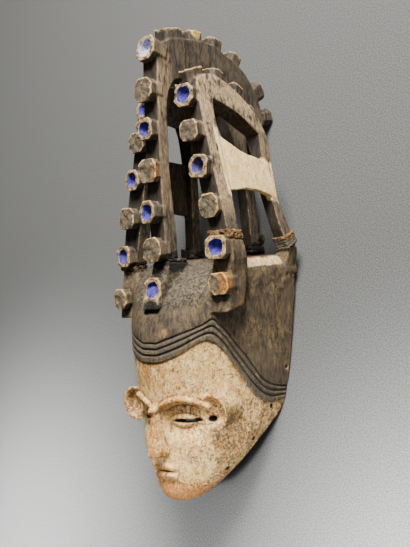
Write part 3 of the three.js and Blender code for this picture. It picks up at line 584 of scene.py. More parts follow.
def ear_field(ax, y, z):
    """An oval that stands out to the side and runs back into the head, hollowed from the front."""
    t = clamp((y - EAR_FRONT) / (EAR_ROOT - EAR_FRONT), 0, 1)
    t = t ** 0.55
    cx, rx, rz = (lerp(a, b, t) for a, b in zip(EAR_RIM, EAR_BACK))
    g = np.sqrt(((ax - cx) / rx) ** 2 + ((z - EAR_Z) / rz) ** 2 + 1e-9)
    d = extrude((g - 1) * np.minimum(rx, rz), np.maximum(EAR_FRONT - y, y - EAR_ROOT), 2.4)
    bx = ax - EAR_RIM[0] + 0.5
    ra, rb = EAR_RIM[1] - EAR_WALL + 0.8, EAR_RIM[2] - EAR_WALL + 0.8
    rb = rb + 9 * smooth(-1, -13, bx) * smooth(4, -6, z - EAR_Z)
    rho = np.sqrt((bx / np.where(bx < 0, ra + 16, ra)) ** 2 + ((z - EAR_Z) / rb) ** 2 + 1e-9)
    hole = np.maximum((rho - 1) * ra, y - EAR_FRONT - EAR_DEEP * (1 - clamp(rho, 0, 1) ** 3.5))
    return smax(d, -hole, 1.6)


def helmet(p):
    x, y, z = p[:, 0], p[:, 1], p[:, 2]
    ax = np.abs(x)
    d = head(x, y, z)
    close = np.nonzero(np.abs(d) < 26)[0]
    xs, ys, zs = ax[close], y[close], z[close]
    s = round_head(xs, ys, zs)
    r = face_relief(s, xs, zs) * smooth(176, 150, zs)
    up = zs - hairline(s)
    r = r + 1.6 * smooth(-0.7, 0.7, up * hair_cos(s)) - groove_depth(s, zs)
    capm = smooth(2, 14, zs - hairtop(s))
    xx, yy, zz = x[close], ys, zs
    r = r - tool_marks(xx, yy, zz, 0.35, 9) - capm * (0.9 * noise(xx / 8, yy / 8, zz / 9, 2) + 0.55 * noise(xx / 3.4, yy / 3.4, zz / 4, 4)) * smooth(212, 232, zs)
    d[close] -= r * smooth(-8, 2, d[close] + 6)
    out = smax(d, z - roof(x, y) - 0.5 * noise(x / 7, y / 7, z * 0, 6), 7.0)
    out = smax(out, -z, 5.0)
    # ears
    near = np.nonzero((ax > 30) & (y < -24) & (y > -90) & (np.abs(z - EAR_Z) < 32))[0]
    if len(near):
        out[near] = smin(out[near], ear_field(ax[near], y[near], z[near]), 5.0)
    # hollow
    mark = 0.8 * np.abs(noise(x / 9, y / 9, z / 15, 12)) + 0.3 * noise(x / 3, y / 3, z / 12, 13)
    hollow = head(x, y, z, WALL) + mark
    top = roof(x, y) - CAP_THICK - 0.004 * x * x
    hollow = smax(hollow, z - np.where(y > 58, 1e3, top), 8.0)
    door_r = HALF_WIDTH - WALL - 3
    rise = np.sqrt(clamp(1 - (x / door_r) ** 2, 0, 1))
    door = np.maximum(np.maximum(ax - door_r, z - (190 + rise * (LINTEL_Z - 190))), 30 - y)
    hollow = np.minimum(hollow, door)
    d = smax(out, -hollow, 2.0)
    # rims
    bow = EDGE_HIGH[0] - 0.0 + 7 * clamp(1 - (x / 80) ** 2, 0, 1) - 1 + 0.23 * (z - CAP_TOP)
    cut = np.where(z > LINTEL_Z - 4, y - bow, -50.0)
    d = smax(d, cut, 2.0)
    d = smax(d, -RIM(y, z) + 0.35 * noise(x / 6, y / 6, z / 6, 8), 1.6)

    # stumps of the crest's feet
    def stump(outline, centre, half, zlim):
        nonlocal d
        near = np.nonzero((np.abs(x - centre[0]) < half + 24) & (z > zlim[0]) & (z < zlim[1]) & (np.abs(y - centre[1]) < 44))[0]
        if not len(near):
            return
        q = p[near]
        st = extrude(outline(q[:, 1], q[:, 2]), np.abs(q[:, 0] - centre[2](q[:, 1], q[:, 2])) - half, 3.0)
        st = st + tool_marks(q[:, 0], q[:, 1], q[:, 2], 0.8, 15) + chips(q[:, 0], q[:, 1], q[:, 2], zlim[2], 4.0)
        d[near] = smin(d[near], st.astype(d.dtype), 4.0)

    stump(LEFT_STUMP, (76, -44, lambda b, c: outer_x(b, np.maximum(c, 262)) - into_wall(c)), ARCH_HALF + 0.5, (195, 300, 286))
    stump(RIGHT_STUMP, (-76, -44, lambda b, c: into_wall(c) - outer_x(b, np.maximum(c, 262))), ARCH_HALF, (190, 272, 257))
    stump(FRONT_STUMP, (0, -56, lambda b, c: 0 * b), CENTRE_HALF + 0.5, (200, 276, 264))
    stump(REAR_L, (76, 60, lambda b, c: rear_x(60, np.maximum(c, 262)) - 1.2 * into_wall(c)), 9, (228, 284, 300))
    stump(REAR_R, (-76, 60, lambda b, c: 1.2 * into_wall(c) - rear_x(60, np.maximum(c, 262))), 9, (228, 276, 300))
    stump(REAR_C, (13, 70, centre_x), 9, (235, 276, 300))
    # eyes, mouth, ear and tie holes, cut right through
    near = np.nonzero((z < 145) & (d < 8))[0]
    q = p[near]
    qa = np.abs(q[:, 0])
    front = np.where(q[:, 1] < -45, 0.0, 40.0)
    tilt = q[:, 2] - (BROW_Z - 15) + 0.02 * (qa - 31)
    eye = (np.sqrt(((qa - 31) / 12.5) ** 2 + (tilt / 2.1) ** 2 + 1e-9) - 1) * 2.1
    mouth = (np.sqrt((q[:, 0] / 14.5) ** 2 + ((q[:, 2] - MOUTH_Z - 0.02 * qa) / 1.3) ** 2 + 1e-9) - 1) * 1.3
    ear = np.hypot(qa - 54.5, q[:, 2] - 94) - 2.9 + np.where(q[:, 1] < -36, 0, 40.0)
    hole = np.minimum(np.minimum(eye, mouth) + front, ear)
    for hy, hz in HOLES:
        hole = np.minimum(hole, np.hypot(q[:, 1] - hy, q[:, 2] - hz) - 2.3)
    d[near] = smax(d[near], -hole.astype(d.dtype), 0.8)
    return add_knobs(d, p, KN_HELMET)


# ------------------------------------------------------------------ meshing a field
def sample(field, lo, hi, h, slack=2.5):
    """The field's values on a fine grid, worked out only near the surface."""
    q = 4
    lo, hi = np.array(lo, float), np.array(hi, float)
    nb = np.ceil((hi - lo) / (q * h)).astype(int)
    axes = [lo[i] + np.arange(nb[i] + 1) * q * h for i in range(3)]
    g = np.stack(np.meshgrid(*axes, indexing="ij"), -1).reshape(-1, 3)
    dc = field(g).reshape(nb + 1)
    mn = np.full(nb, 1e9)
    for a in (0, 1):
        for b in (0, 1):
            for c in (0, 1):
                mn = np.minimum(mn, np.abs(dc[a:a + nb[0], b:b + nb[1], c:c + nb[2]]))
    act = mn < q * h * 0.87 + slack
    fill = np.where(dc[:-1, :-1, :-1] < 0, -9.0, 9.0).astype(F)
    D = np.repeat(np.repeat(np.repeat(fill, q, 0), q, 1), q, 2)
    idx = np.argwhere(act)
    o = np.stack(np.meshgrid(*[np.arange(q)] * 3, indexing="ij"), -1).reshape(-1, 3)
    n = (idx[:, None, :] * q + o[None]).reshape(-1, 3)
    for k in range(0, len(n), 400000):
        m = n[k:k + 400000]
        D[m[:, 0], m[:, 1], m[:, 2]] = field(lo + m * h).astype(F)
    return D, lo


def nets(D, lo, h):
    """A closed quad mesh through the middle of the cells that the surface crosses."""
    s = D < 0
    cnt = np.zeros([n - 1 for n in D.shape], np.uint8)
    for a in (0, 1):
        for b in (0, 1):
            for c in (0, 1):
                cnt += s[a:D.shape[0] - 1 + a, b:D.shape[1] - 1 + b, c:D.shape[2] - 1 + c]
    act = (cnt > 0) & (cnt < 8)
    idx = np.argwhere(act)
    vid = np.full(act.shape, -1, np.int64)
    vid[act] = np.arange(len(idx))
    acc = np.zeros((len(idx), 3))
    num = np.zeros(len(idx))
    corners = [(a, b, c) for a in (0, 1) for b in (0, 1) for c in (0, 1)]
    for ca in corners:
        for ax in range(3):
            if ca[ax]:
                continue
            cb = list(ca)
            cb[ax] = 1
            da = D[idx[:, 0] + ca[0], idx[:, 1] + ca[1], idx[:, 2] + ca[2]]
            db = D[idx[:, 0] + cb[0], idx[:, 1] + cb[1], idx[:, 2] + cb[2]]
            x = (da < 0) != (db < 0)
            t = da[x] / (da[x] - db[x])
            pt = np.tile(np.array(ca, float), (x.sum(), 1))
            pt[:, ax] = t
            acc[x] += pt
            num[x] += 1
    pos = lo + h * (idx + acc / num[:, None])
    quads = []
    for ax in range(3):
        u, v = (ax + 1) % 3, (ax + 2) % 3
        sl = [slice(None)] * 3
        sh = [slice(None)] * 3
        sl[ax], sh[ax] = slice(0, -1), slice(1, None)
        sa, sb = s[tuple(sl)], s[tuple(sh)]
        e = np.argwhere(sa != sb)
        ok = (e[:, u] >= 1) & (e[:, v] >= 1) & (e[:, u] < D.shape[u] - 1) & (e[:, v] < D.shape[v] - 1)
        e = e[ok]
        eu, ev = e.copy(), e.copy()
        eu[:, u] -= 1
        ev[:, v] -= 1
        euv = eu.copy()
        euv[:, v] -= 1
        q = np.stack([vid[tuple(m.T)] for m in (e, eu, euv, ev)], 1)
        inside = sa[tuple(e.T)]
        q[~inside] = q[~inside][:, ::-1]
        quads.append(q)
    return pos, np.concatenate(quads)


def settle(field, v, h, rounds=1):
    """Moves the vertices onto the surface."""
    e = 0.35
    for _ in range(rounds):
        d = field(v)
        g = np.stack([field(v + np.eye(3)[i] * e) - d for i in range(3)], 1) / e
        step = (d / np.maximum((g * g).sum(1), 0.2))[:, None] * g
        n = np.linalg.norm(step, axis=1, keepdims=True)
        v = v - step * np.minimum(1, 0.5 * h / np.maximum(n, 1e-9))
    return v


def keep_largest(v, q):
    """Drops loose crumbs: keeps the largest connected part."""
    parent = np.arange(len(v))
    edges = np.concatenate([q[:, [0, 1]], q[:, [1, 2]], q[:, [2, 3]], q[:, [3, 0]]])
    label = np.arange(len(v))
    for _ in range(4000):
        m = np.minimum(label[edges[:, 0]], label[edges[:, 1]])
        new = label.copy()
        np.minimum.at(new, edges[:, 0], m)
        np.minimum.at(new, edges[:, 1], m)
        new = new[new]
        new = new[new]
        if (new == label).all():
            break
        label = new
    ids, counts = np.unique(label, return_counts=True)
    best = ids[np.argmax(counts)]
    keep = label == best
    if keep.all():
        return v, q
    remap = np.full(len(v), -1)
    remap[keep] = np.arange(keep.sum())
    q = q[keep[q[:, 0]]]
    return v[keep], remap[q]


def mesh_piece(name, field, lo, hi, h, target=None):
    hh = h * 1.0
    D, o = sample(field, lo, hi, hh)
    v, q = nets(D, o, hh)
    v, q = keep_largest(v, q)
    v = settle(field, v, hh)
    me = bpy.data.meshes.new(name)
    me.vertices.add(len(v))
    me.vertices.foreach_set("co", v.astype(F).ravel())
    me.loops.add(len(q) * 4)
    me.loops.foreach_set("vertex_index", q.astype(np.int32).ravel())
    me.polygons.add(len(q))
    me.polygons.foreach_set("loop_start", np.arange(0, len(q) * 4, 4, dtype=np.int32))
    me.polygons.foreach_set("loop_total", np.full(len(q), 4, np.int32))
    me.update(calc_edges=True)
    tris = len(q) * 2
    if target and tris > target:
        ob = bpy.data.objects.new(name, me)
        bpy.context.scene.collection.objects.link(ob)
        mod = ob.modifiers.new("thin", "DECIMATE")
        mod.ratio = target / tris
        bpy.context.view_layer.update()
        dg = bpy.context.evaluated_depsgraph_get()
        thin = bpy.data.meshes.new_from_object(ob.evaluated_get(dg))
        bpy.data.objects.remove(ob)
        bpy.data.meshes.remove(me)
        me = thin
        me.name = name
    v = np.zeros(len(me.vertices) * 3, F)
    me.vertices.foreach_get("co", v)
    return me, v.reshape(-1, 3).astype(float)


def bend(me, v, rounds):
    """Convexity of the surface at each vertex, seen over a few rounds of smoothing: + is an edge, - a hollow."""
    e = np.zeros(len(me.edges) * 2, np.int32)
    me.edges.foreach_get("vertices", e)
    e = e.reshape(-1, 2)
    n = np.zeros(len(me.vertices) * 3, F)
    me.vertices.foreach_get("normal", n)
    n = n.reshape(-1, 3)
    cnt = np.bincount(e.ravel(), minlength=len(v)).astype(float)
    out = []
    w = v.copy()
    done = 0
    for r in rounds:
        while done < r:
            acc = np.stack([np.bincount(e[:, 0], w[e[:, 1], i], len(v)) + np.bincount(e[:, 1], w[e[:, 0], i], len(v)) for i in range(3)], 1)
            w = acc / cnt[:, None]
            done += 1
        out.append(((v - w) * n).sum(1))
    return out


def attribute(me, name, values):
    a = me.attributes.new(name, "FLOAT", "POINT")
    a.data.foreach_set("value", np.asarray(values, F))


def finish_piece(name, me, v, material, node):
    m = me.attributes.new("mp", "FLOAT_VECTOR", "POINT")
    m.data.foreach_set("vector", (v / 10).astype(F).ravel())
    me.vertices.foreach_set("co", np.clip(lay(v), np.array(CAD_LO) + 2e-5, np.array(CAD_HI) - 2e-5).astype(F).ravel())
    me.update()
    me.polygons.foreach_set("use_smooth", np.ones(len(me.polygons), bool))
    me.materials.append(material)
    ob = bpy.data.objects.new(name, me)
    bpy.context.scene.collection.objects.link(ob)
    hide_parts(node)
    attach(ob, "root")
    return ob


def knob_marks(v, knobs):
    """Blue in the cups, the flat ends, and each knob's own paleness."""
    blue = np.zeros(len(v))
    ends = np.zeros(len(v))
    pale = np.zeros(len(v))
    tone = np.zeros(len(v))
    rim = np.zeros(len(v))
    for kn in knobs:
        near = np.nonzero(((v - kn.at) ** 2).sum(1) < kn.reach ** 2)[0]
        q = kn.local(v[near])
        z = q[:, 2]
        on = (np.abs(q[:, 0]) < kn.size / 2 + 1) & (np.abs(q[:, 1]) < kn.tall / 2 + 1)
        up = smooth(1.0, 4.0, z) * on
        tone[near] = np.maximum(tone[near], up)
        top = smooth(kn.rise - 2.6, kn.rise - 1.2, z) * on
        if kn.cup:
            rho = kn.cup_rho(q)
            inner = smooth(1.03, 0.93, rho) * on * smooth(kn.rise - kn.deep - 4, kn.rise - kn.deep - 2, z)
            blue[near] = np.maximum(blue[near], inner * kn.blue)
            rim[near] = np.maximum(rim[near], smooth(0.8, 0.98, rho) * top)
        elif not kn.flare:
            rim[near] = np.maximum(rim[near], smooth(kn.rise - 4.6, kn.rise - 3.2, z + 0.8 * noise(q[:, 0] / 3, q[:, 1] / 3, z * 0, kn.seed % 5)) * on)
        ends[near] = np.maximum(ends[near], top)
        pale[near] = np.maximum(pale[near], up * kn.pale * clamp(0.65 + q[:, 0] / 18, 0.1, 1.2))
    return blue, ends, pale, tone, rim


# ------------------------------------------------------------------ repairs
def slab_field(outline, x_at, half, rough, seed):
    o = Outline(outline, step=0.4, pad=8)

    def field(p):
        x, y, z = p[:, 0], p[:, 1], p[:, 2]
        lump = rough * (noise(x / 3.5, y / 3.5, z / 2.2, seed) + 0.6 * noise(x / 1.7, y / 1.7, z / 1.2, seed + 1))
        return extrude(o(y, z) - 0.4, np.abs(x - x_at(y, z)) - half, 0.8) + lump - 0.2

    return field


def collar_field(at, axis, w, d, thick, tall, turns, rough, seed):
    """Turns of fibre wound round a foot, or with turns=0 a daub of resin."""
    z = np.array(axis, float)
    z /= np.linalg.norm(z)
    x = np.array([1.0, 0, 0]) - z * z[0]
    x /= np.linalg.norm(x)
    m = np.array([x, np.cross(z, x), z])
    at = np.array(at, float)

    def field(p):
        q = (p - at) @ m.T
        a, b = np.abs(q[:, 0]) - w / 2 + 2, np.abs(q[:, 1]) - d / 2 + 2
        d2 = np.minimum(np.maximum(a, b), 0) + np.hypot(np.maximum(a, 0), np.maximum(b, 0)) - 2
        lump = rough * noise(p[:, 0] / 5, p[:, 1] / 5, p[:, 2] / 3, seed) + 0.4 * rough * noise(p[:, 0] / 2, p[:, 1] / 2, p[:, 2] / 1.5, seed + 2)
        if not turns:
            return extrude(np.abs(d2 - thick / 2 + 0.1) - thick / 2, np.abs(q[:, 2]) - tall / 2, 1.4) + lump
        core = extrude(np.abs(d2 - 0.9) - 0.8, np.abs(q[:, 2]) - tall / 2 + 0.5, 0.4)
        ang = np.arctan2(q[:, 1], q[:, 0]) / (2 * math.pi)
        pitch = tall / turns
        k = q[:, 2] / pitch - ang + 0.25 * lump
        lane = np.floor(k) + 0.5
        off = (k - lane) * pitch
        r = pitch * 0.53
        over = 0.7 * noise(lane * 3.1, lane * 0, ang * 3, seed)
        coil = np.hypot(off, d2 - thick + r + 0.3 - over) - r
        coil = smax(coil, np.abs(q[:, 2]) - tall / 2, 0.8)
        twist = 0.22 * np.sin((ang * 2 * math.pi * (w + d) / 2 / 1.1 + off * 2.2))
        return smin(core, coil + twist, 0.5) + 0.25 * lump

    return field


# ------------------------------------------------------------------ materials
def lin(r, g, b):
    return tuple((c / 255 / 12.92) if c / 255 <= 0.04045 else ((c / 255 + 0.055) / 1.055) ** 2.4 for c in (r, g, b)) + (1.0,)


class Tree:
    """A short way to write a material's nodes."""

    def __init__(self, name):
        self.mat = bpy.data.materials.new(name)
        self.mat.use_nodes = True
        self.nt = self.mat.node_tree
        self.nt.nodes.clear()
        out = self.nt.nodes.new("ShaderNodeOutputMaterial")
        self.bsdf = self.nt.nodes.new("ShaderNodeBsdfPrincipled")
        self.nt.links.new(self.bsdf.outputs[0], out.inputs["Surface"])

    def put(self, socket, value):
        if isinstance(value, bpy.types.NodeSocket):
            self.nt.links.new(value, socket)
        else:
            socket.default_value = value

    def attr(self, name, vector=False):
        n = self.nt.nodes.new("ShaderNodeAttribute")
        n.attribute_name = name
        return n.outputs["Vector" if vector else "Fac"]

    def stretch(self, vec, x, y, z):
        n = self.nt.nodes.new("ShaderNodeVectorMath")
        n.operation = "MULTIPLY"
        self.put(n.inputs[0], vec)
        n.inputs[1].default_value = (x, y, z)
        return n.outputs[0]

    def noise(self, vec, scale, detail=3.0, rough=0.55, twist=0.0):
        n = self.nt.nodes.new("ShaderNodeTexNoise")
        self.put(n.inputs["Vector"], vec)
        n.inputs["Scale"].default_value = scale
        n.inputs["Detail"].default_value = detail
        n.inputs["Roughness"].default_value = rough
        n.inputs["Distortion"].default_value = twist
        return n.outputs["Fac"]

    def voronoi(self, vec, scale, feature="F1"):
        n = self.nt.nodes.new("ShaderNodeTexVoronoi")
        n.feature = feature
        self.put(n.inputs["Vector"], vec)
        n.inputs["Scale"].default_value = scale
        return n.outputs["Distance"]

    def step(self, fac, lo, hi, a=0.0, b=1.0):
        n = self.nt.nodes.new("ShaderNodeMapRange")
        n.interpolation_type = "SMOOTHSTEP"
        self.put(n.inputs["Value"], fac)
        n.inputs["From Min"].default_value = lo
        n.inputs["From Max"].default_value = hi
        n.inputs["To Min"].default_value = a
        n.inputs["To Max"].default_value = b
        return n.outputs["Result"]

    def math(self, op, a, b=0.0, clamped=False):
        n = self.nt.nodes.new("ShaderNodeMath")
        n.operation = op
        n.use_clamp = clamped
        self.put(n.inputs[0], a)
        self.put(n.inputs[1], b)
        return n.outputs[0]

    def mul(self, a, b):
        return self.math("MULTIPLY", a, b)

    def add(self, a, b):
        return self.math("ADD", a, b)

    def mix(self, fac, a, b, kind="MIX"):
        n = self.nt.nodes.new("ShaderNodeMix")
        n.data_type = "RGBA"
        n.blend_type = kind
        self.put(n.inputs[0], fac)
        self.put(n.inputs[6], a)
        self.put(n.inputs[7], b)
        return n.outputs[2]

    def finish(self, colour, rough, height, strength, distance, spec=0.35):
        self.put(self.bsdf.inputs["Base Color"], colour)
        self.put(self.bsdf.inputs["Roughness"], rough)
        self.bsdf.inputs["Specular IOR Level"].default_value = spec
        n = self.nt.nodes.new("ShaderNodeBump")
        n.inputs["Strength"].default_value = strength
        n.inputs["Distance"].default_value = distance
        self.put(n.inputs["Height"], height)
        self.put(self.bsdf.inputs["Normal"], n.outputs[0])
        return self.mat


def dark_wood(t, mp):
    """Weathered wood: dark grey brown with fine grain, a few tan scuffs and dark pores. Colour, heights."""
    fibre = t.noise(t.stretch(mp, 1, 1, 0.16), 9.0, 4.0, 0.65)
    streak = t.noise(t.stretch(mp, 1, 1, 0.3), 2.6, 5.0, 0.66)
    patch = t.noise(t.stretch(mp, 1, 1, 0.7), 0.55, 4.0, 0.6)
    pore = t.noise(t.stretch(mp, 1, 1, 0.3), 16.0, 3.0, 0.6)
    col = t.mix(t.step(streak, 0.36, 0.64), lin(48, 41, 34), lin(104, 91, 74))
    col = t.mix(t.mul(t.step(patch, 0.46, 0.62), 0.5), col, lin(120, 104, 82))
    col = t.mix(t.mul(t.step(t.add(t.mul(streak, 0.45), t.mul(fibre, 0.55)), 0.54, 0.64), 0.5), col, lin(138, 116, 84))
    col = t.mix(t.mul(t.step(fibre, 0.46, 0.34), 0.65), col, lin(24, 19, 15))
    col = t.mix(t.mul(t.step(pore, 0.42, 0.32), 0.6), col, lin(22, 18, 14))
    return col, fibre, streak, patch


def worn_edges(t, col, fibre, tone, lo=0.62, hi=1.05):
    gaps = t.noise(t.attr("mp", True), 1.3, 4.0, 0.7)
    e = t.add(t.attr("edge"), t.add(t.mul(t.math("SUBTRACT", fibre, 0.5), 1.2), t.mul(t.math("SUBTRACT", gaps, 0.5), 2.0)))
    return t.mix(t.mul(t.step(e, lo, hi), 0.8), col, tone)


def crest_paint(t, mp, col, fibre):
    """The knobs' ends, their blue cups and pale rims, resin with painted glints, a painted shadow under the front
    ledge, and painted shade in the hollows.
    """
    fine = t.noise(mp, 7.0, 4.0, 0.65)
    coarse = t.noise(mp, 2.0, 4.0, 0.6)
    ends = t.attr("ends")
    face = t.mix(t.step(coarse, 0.34, 0.66), lin(76, 66, 53), lin(124, 109, 86))
    face = t.mix(t.mul(t.step(fine, 0.54, 0.66), 0.45), face, lin(152, 132, 98))
    face = t.mix(t.mul(t.step(fine, 0.45, 0.35), 0.5), face, lin(48, 40, 31))
    col = t.mix(t.mul(ends, 0.8), col, face)
    pale = t.step(t.add(t.attr("pale"), t.mul(t.math("SUBTRACT", coarse, 0.5), 1.5)), 0.42, 0.72)
    pale = t.mul(pale, t.step(t.attr("pale"), 0.05, 0.3))
    col = t.mix(t.mul(pale, 0.8), col, t.mix(t.step(fine, 0.4, 0.6), lin(124, 70, 24), lin(192, 132, 60)))
    worn = t.add(t.attr("edge"), t.add(t.mul(t.math("SUBTRACT", fine, 0.5), 1.4), t.mul(t.math("SUBTRACT", coarse, 0.5), 1.4)))
    col = t.mix(t.mul(t.mul(t.step(worn, 0.52, 0.9), ends), 0.85), col, lin(204, 168, 112))
    col = t.mix(t.mul(t.attr("scar"), t.step(fine, 0.38, 0.52)), col, lin(226, 196, 100))
    rim = t.mul(t.attr("rim"), t.step(coarse, 0.4, 0.6))
    col = t.mix(t.mul(rim, 0.7), col, t.mix(t.step(fine, 0.38, 0.62), lin(104, 80, 54), lin(208, 176, 126)))
    blue = t.attr("blue")
    dye = t.mix(t.step(coarse, 0.35, 0.65), lin(38, 30, 104), lin(74, 68, 160))
    dye = t.mix(t.mul(t.step(fine, 0.58, 0.68), 0.55), dye, lin(150, 146, 200))
    dye = t.mix(t.mul(t.step(fine, 0.44, 0.35), 0.8), dye, lin(22, 18, 42))
    dye = t.mix(t.mul(t.attr("faded"), t.step(t.add(fine, t.mul(t.math("SUBTRACT", coarse, 0.5), 0.6)), 0.36, 0.5)), dye, lin(188, 186, 214))
    col = t.mix(t.step(t.add(blue, t.mul(t.math("SUBTRACT", coarse, 0.5), 0.7)), 0.42, 0.58), col, dye)
    # black resin, and at the front ledge a painted shadow in the same black
    resin_and_shadow = t.step(t.add(t.attr("resin_and_shadow"), t.add(t.mul(t.math("SUBTRACT", coarse, 0.5), 1.3), t.mul(t.math("SUBTRACT", fine, 0.5), 0.9))), 0.42, 0.56)
    resin_and_shadow = t.mul(resin_and_shadow, t.step(t.attr("resin_and_shadow"), 0.02, 0.12))
    # the lighter grey flecks in the resin are painted glints
    col = t.mix(resin_and_shadow, col, t.mix(t.step(fine, 0.5, 0.66), lin(14, 13, 12), lin(74, 68, 60)))
    # painted shade: hollows and corners darkened to near black
    col = t.mix(t.mul(t.attr("crevice_shade"), 0.85), col, lin(13, 10, 8))
    return col, fine, resin_and_shadow


def arch_material():
    t = Tree("crest_wood")
    mp = t.attr("mp", True)
    col, fibre, streak, patch = dark_wood(t, mp)
    # painted shade: front-facing faces and the sides of the upright top knobs are darkened; the centre arch's upper
    # beam is also given a darker tone
    col = t.mix(t.mul(t.attr("painted_shade_and_dark_beam"), 0.75), col, lin(24, 20, 17))
    # painted light: faces turned outward (+X) are lightened in grain streaks
    col = t.mix(t.mul(t.attr("painted_lit_side"), t.step(t.add(t.mul(streak, 0.6), t.mul(patch, 0.4)), 0.36, 0.54)), col, t.mix(t.step(fibre, 0.4, 0.62), lin(124, 100, 72), lin(186, 160, 124)))
    light = t.attr("light")
    speck = t.noise(mp, 6.0, 4.0, 0.7)
    panel = t.mix(t.step(streak, 0.36, 0.64), lin(240, 196, 126), lin(255, 234, 176))
    panel = t.mix(t.mul(t.step(patch, 0.52, 0.64), 0.4), panel, lin(212, 150, 84))
    panel = t.mix(t.mul(t.step(speck, 0.47, 0.36), 0.8), panel, lin(120, 78, 44))
    col = t.mix(t.step(t.add(light, t.mul(t.math("SUBTRACT", streak, 0.5), 0.9)), 0.35, 0.65), col, panel)
    col = worn_edges(t, col, fibre, lin(156, 128, 88), 0.7, 1.15)
    col, fine, resin_and_shadow = crest_paint(t, mp, col, fibre)
    h = t.add(t.mul(fibre, 0.8), t.mul(fine, 0.6))
    return t.finish(col, t.step(streak, 0.3, 0.7, 0.86, 0.66), h, 0.9, 0.0012)


def helmet_material():
    t = Tree("helmet_wood")
    mp = t.attr("mp", True)
    col, fibre, streak, patch = dark_wood(t, mp)
    # the cap and hair: browner, with greenish tan where the paint has gone
    spots = t.noise(t.stretch(mp, 1, 1, 0.5), 1.5, 6.0, 0.7)
    grit = t.noise(mp, 3.6, 5.0, 0.8)
    col = t.mix(0.4, col, lin(58, 48, 37))
    cover = t.step(t.noise(t.stretch(mp, 1, 1, 0.7), 0.42, 3.0, 0.6), 0.4, 0.6, 0.25, 1.0)
    tan = t.mul(t.mul(t.step(t.add(t.mul(spots, 0.6), t.mul(grit, 0.4)), 0.46, 0.57), cover), t.attr("flank"))
    col = t.mix(t.mul(tan, 0.75), col, t.mix(t.step(fibre, 0.4, 0.6), lin(122, 96, 62), lin(150, 130, 86)))
    col = t.mix(t.mul(t.attr("band"), 0.55), col, t.mix(t.step(grit, 0.4, 0.6), lin(62, 55, 47), lin(108, 98, 82)))
    ash = t.mul(t.attr("ash"), t.step(t.add(t.mul(spots, 0.35), t.mul(grit, 0.65)), 0.44, 0.54))
    col = t.mix(t.mul(ash, 0.8), col, t.mix(t.step(grit, 0.44, 0.58), lin(52, 45, 34), lin(118, 109, 88)))
    peck = t.mul(t.step(t.noise(mp, 3.2, 4.0, 0.8), 0.5, 0.42), t.step(t.attr("ash"), 0.1, 0.5))
    col = t.mix(t.mul(peck, 0.8), col, lin(26, 21, 17))
    col = worn_edges(t, col, fibre, lin(146, 118, 80))
    bared = t.step(t.add(t.attr("raw"), t.mul(t.math("SUBTRACT", t.add(t.mul(spots, 0.5), t.mul(grit, 0.5)), 0.5), 3.0)), 0.42, 0.62)
    bared = t.mul(bared, t.step(t.attr("raw"), 0.04, 0.2, 0.0, 0.92))
    bright = t.mix(t.step(streak, 0.4, 0.6), lin(196, 158, 108), lin(232, 206, 164))
    col = t.mix(bared, col, t.mix(t.step(t.attr("raw"), 0.5, 0.8), lin(150, 112, 70), bright))
    col, fine, resin_and_shadow = crest_paint(t, mp, col, fibre)
    # the white face: earth pigment over orange brown wood, with dark specks of dirt
    cloud = t.noise(t.stretch(mp, 1, 1, 0.6), 1.0, 5.0, 0.65)
    fleck = t.noise(mp, 3.0, 5.0, 0.8)
    white = t.mix(t.step(streak, 0.4, 0.6), lin(222, 164, 84), lin(248, 208, 132))
    white = t.mix(t.mul(t.step(fleck, 0.51, 0.59), 0.65), white, lin(254, 232, 178))
    bare = t.mix(t.step(fibre, 0.4, 0.6), lin(142, 74, 22), lin(206, 136, 62))
    blotch = t.noise(t.stretch(mp, 1, 1, 0.5), 0.8, 5.0, 0.65)
    scuff = t.noise(t.stretch(mp, 1, 1, 0.7), 1.7, 6.0, 0.75)
    white = t.mix(t.mul(t.step(scuff, 0.5, 0.42), 0.6), white, lin(255, 237, 182))
    white = t.mix(t.mul(t.step(scuff, 0.54, 0.62), 0.5), white, lin(160, 112, 70))
    wear = t.add(t.attr("warm"), t.add(t.mul(t.math("SUBTRACT", streak, 0.5), 1.7), t.add(t.mul(t.math("SUBTRACT", fleck, 0.5), 2.4), t.mul(t.math("SUBTRACT", blotch, 0.5), 1.2))))
    wear = t.step(wear, 0.34, 0.58)
    white = t.mix(t.mul(wear, 0.82), white, bare)
    dirt = t.add(t.attr("soil"), t.add(t.mul(t.math("SUBTRACT", cloud, 0.5), 1.5), t.mul(t.math("SUBTRACT", fleck, 0.5), 4.2)))
    white = t.mix(t.mul(t.step(dirt, 0.46, 0.68), 0.82), white, lin(96, 62, 48))
    pit = t.mul(t.step(t.noise(mp, 4.4, 4.0, 0.8), 0.555, 0.62), 0.85)
    white = t.mix(pit, white, lin(84, 50, 32))
    # painted shade in the face's hollows and creases
    white = t.mix(t.mul(t.attr("crevice_shade"), 0.85), white, lin(84, 54, 32))
    col = t.mix(t.attr("kaolin"), col, white)
    inside = t.mix(t.step(streak, 0.35, 0.65), lin(54, 37, 24), lin(100, 72, 46))
    # painted shade in the hollows of the inside
    inside = t.mix(t.mul(t.attr("crevice_shade"), 0.5), inside, lin(30, 21, 15))
    col = t.mix(t.attr("inner"), col, inside)
    # painted shade: the walls of the eye slits, ear holes and tie holes are painted near black
    col = t.mix(t.attr("cut"), col, lin(14, 10, 8))
    h = t.add(t.mul(fibre, 0.5), t.add(t.mul(fine, 0.5), t.mul(fleck, 0.6)))
    return t.finish(col, t.step(streak, 0.3, 0.7, 0.84, 0.62), h, 0.9, 0.0013)


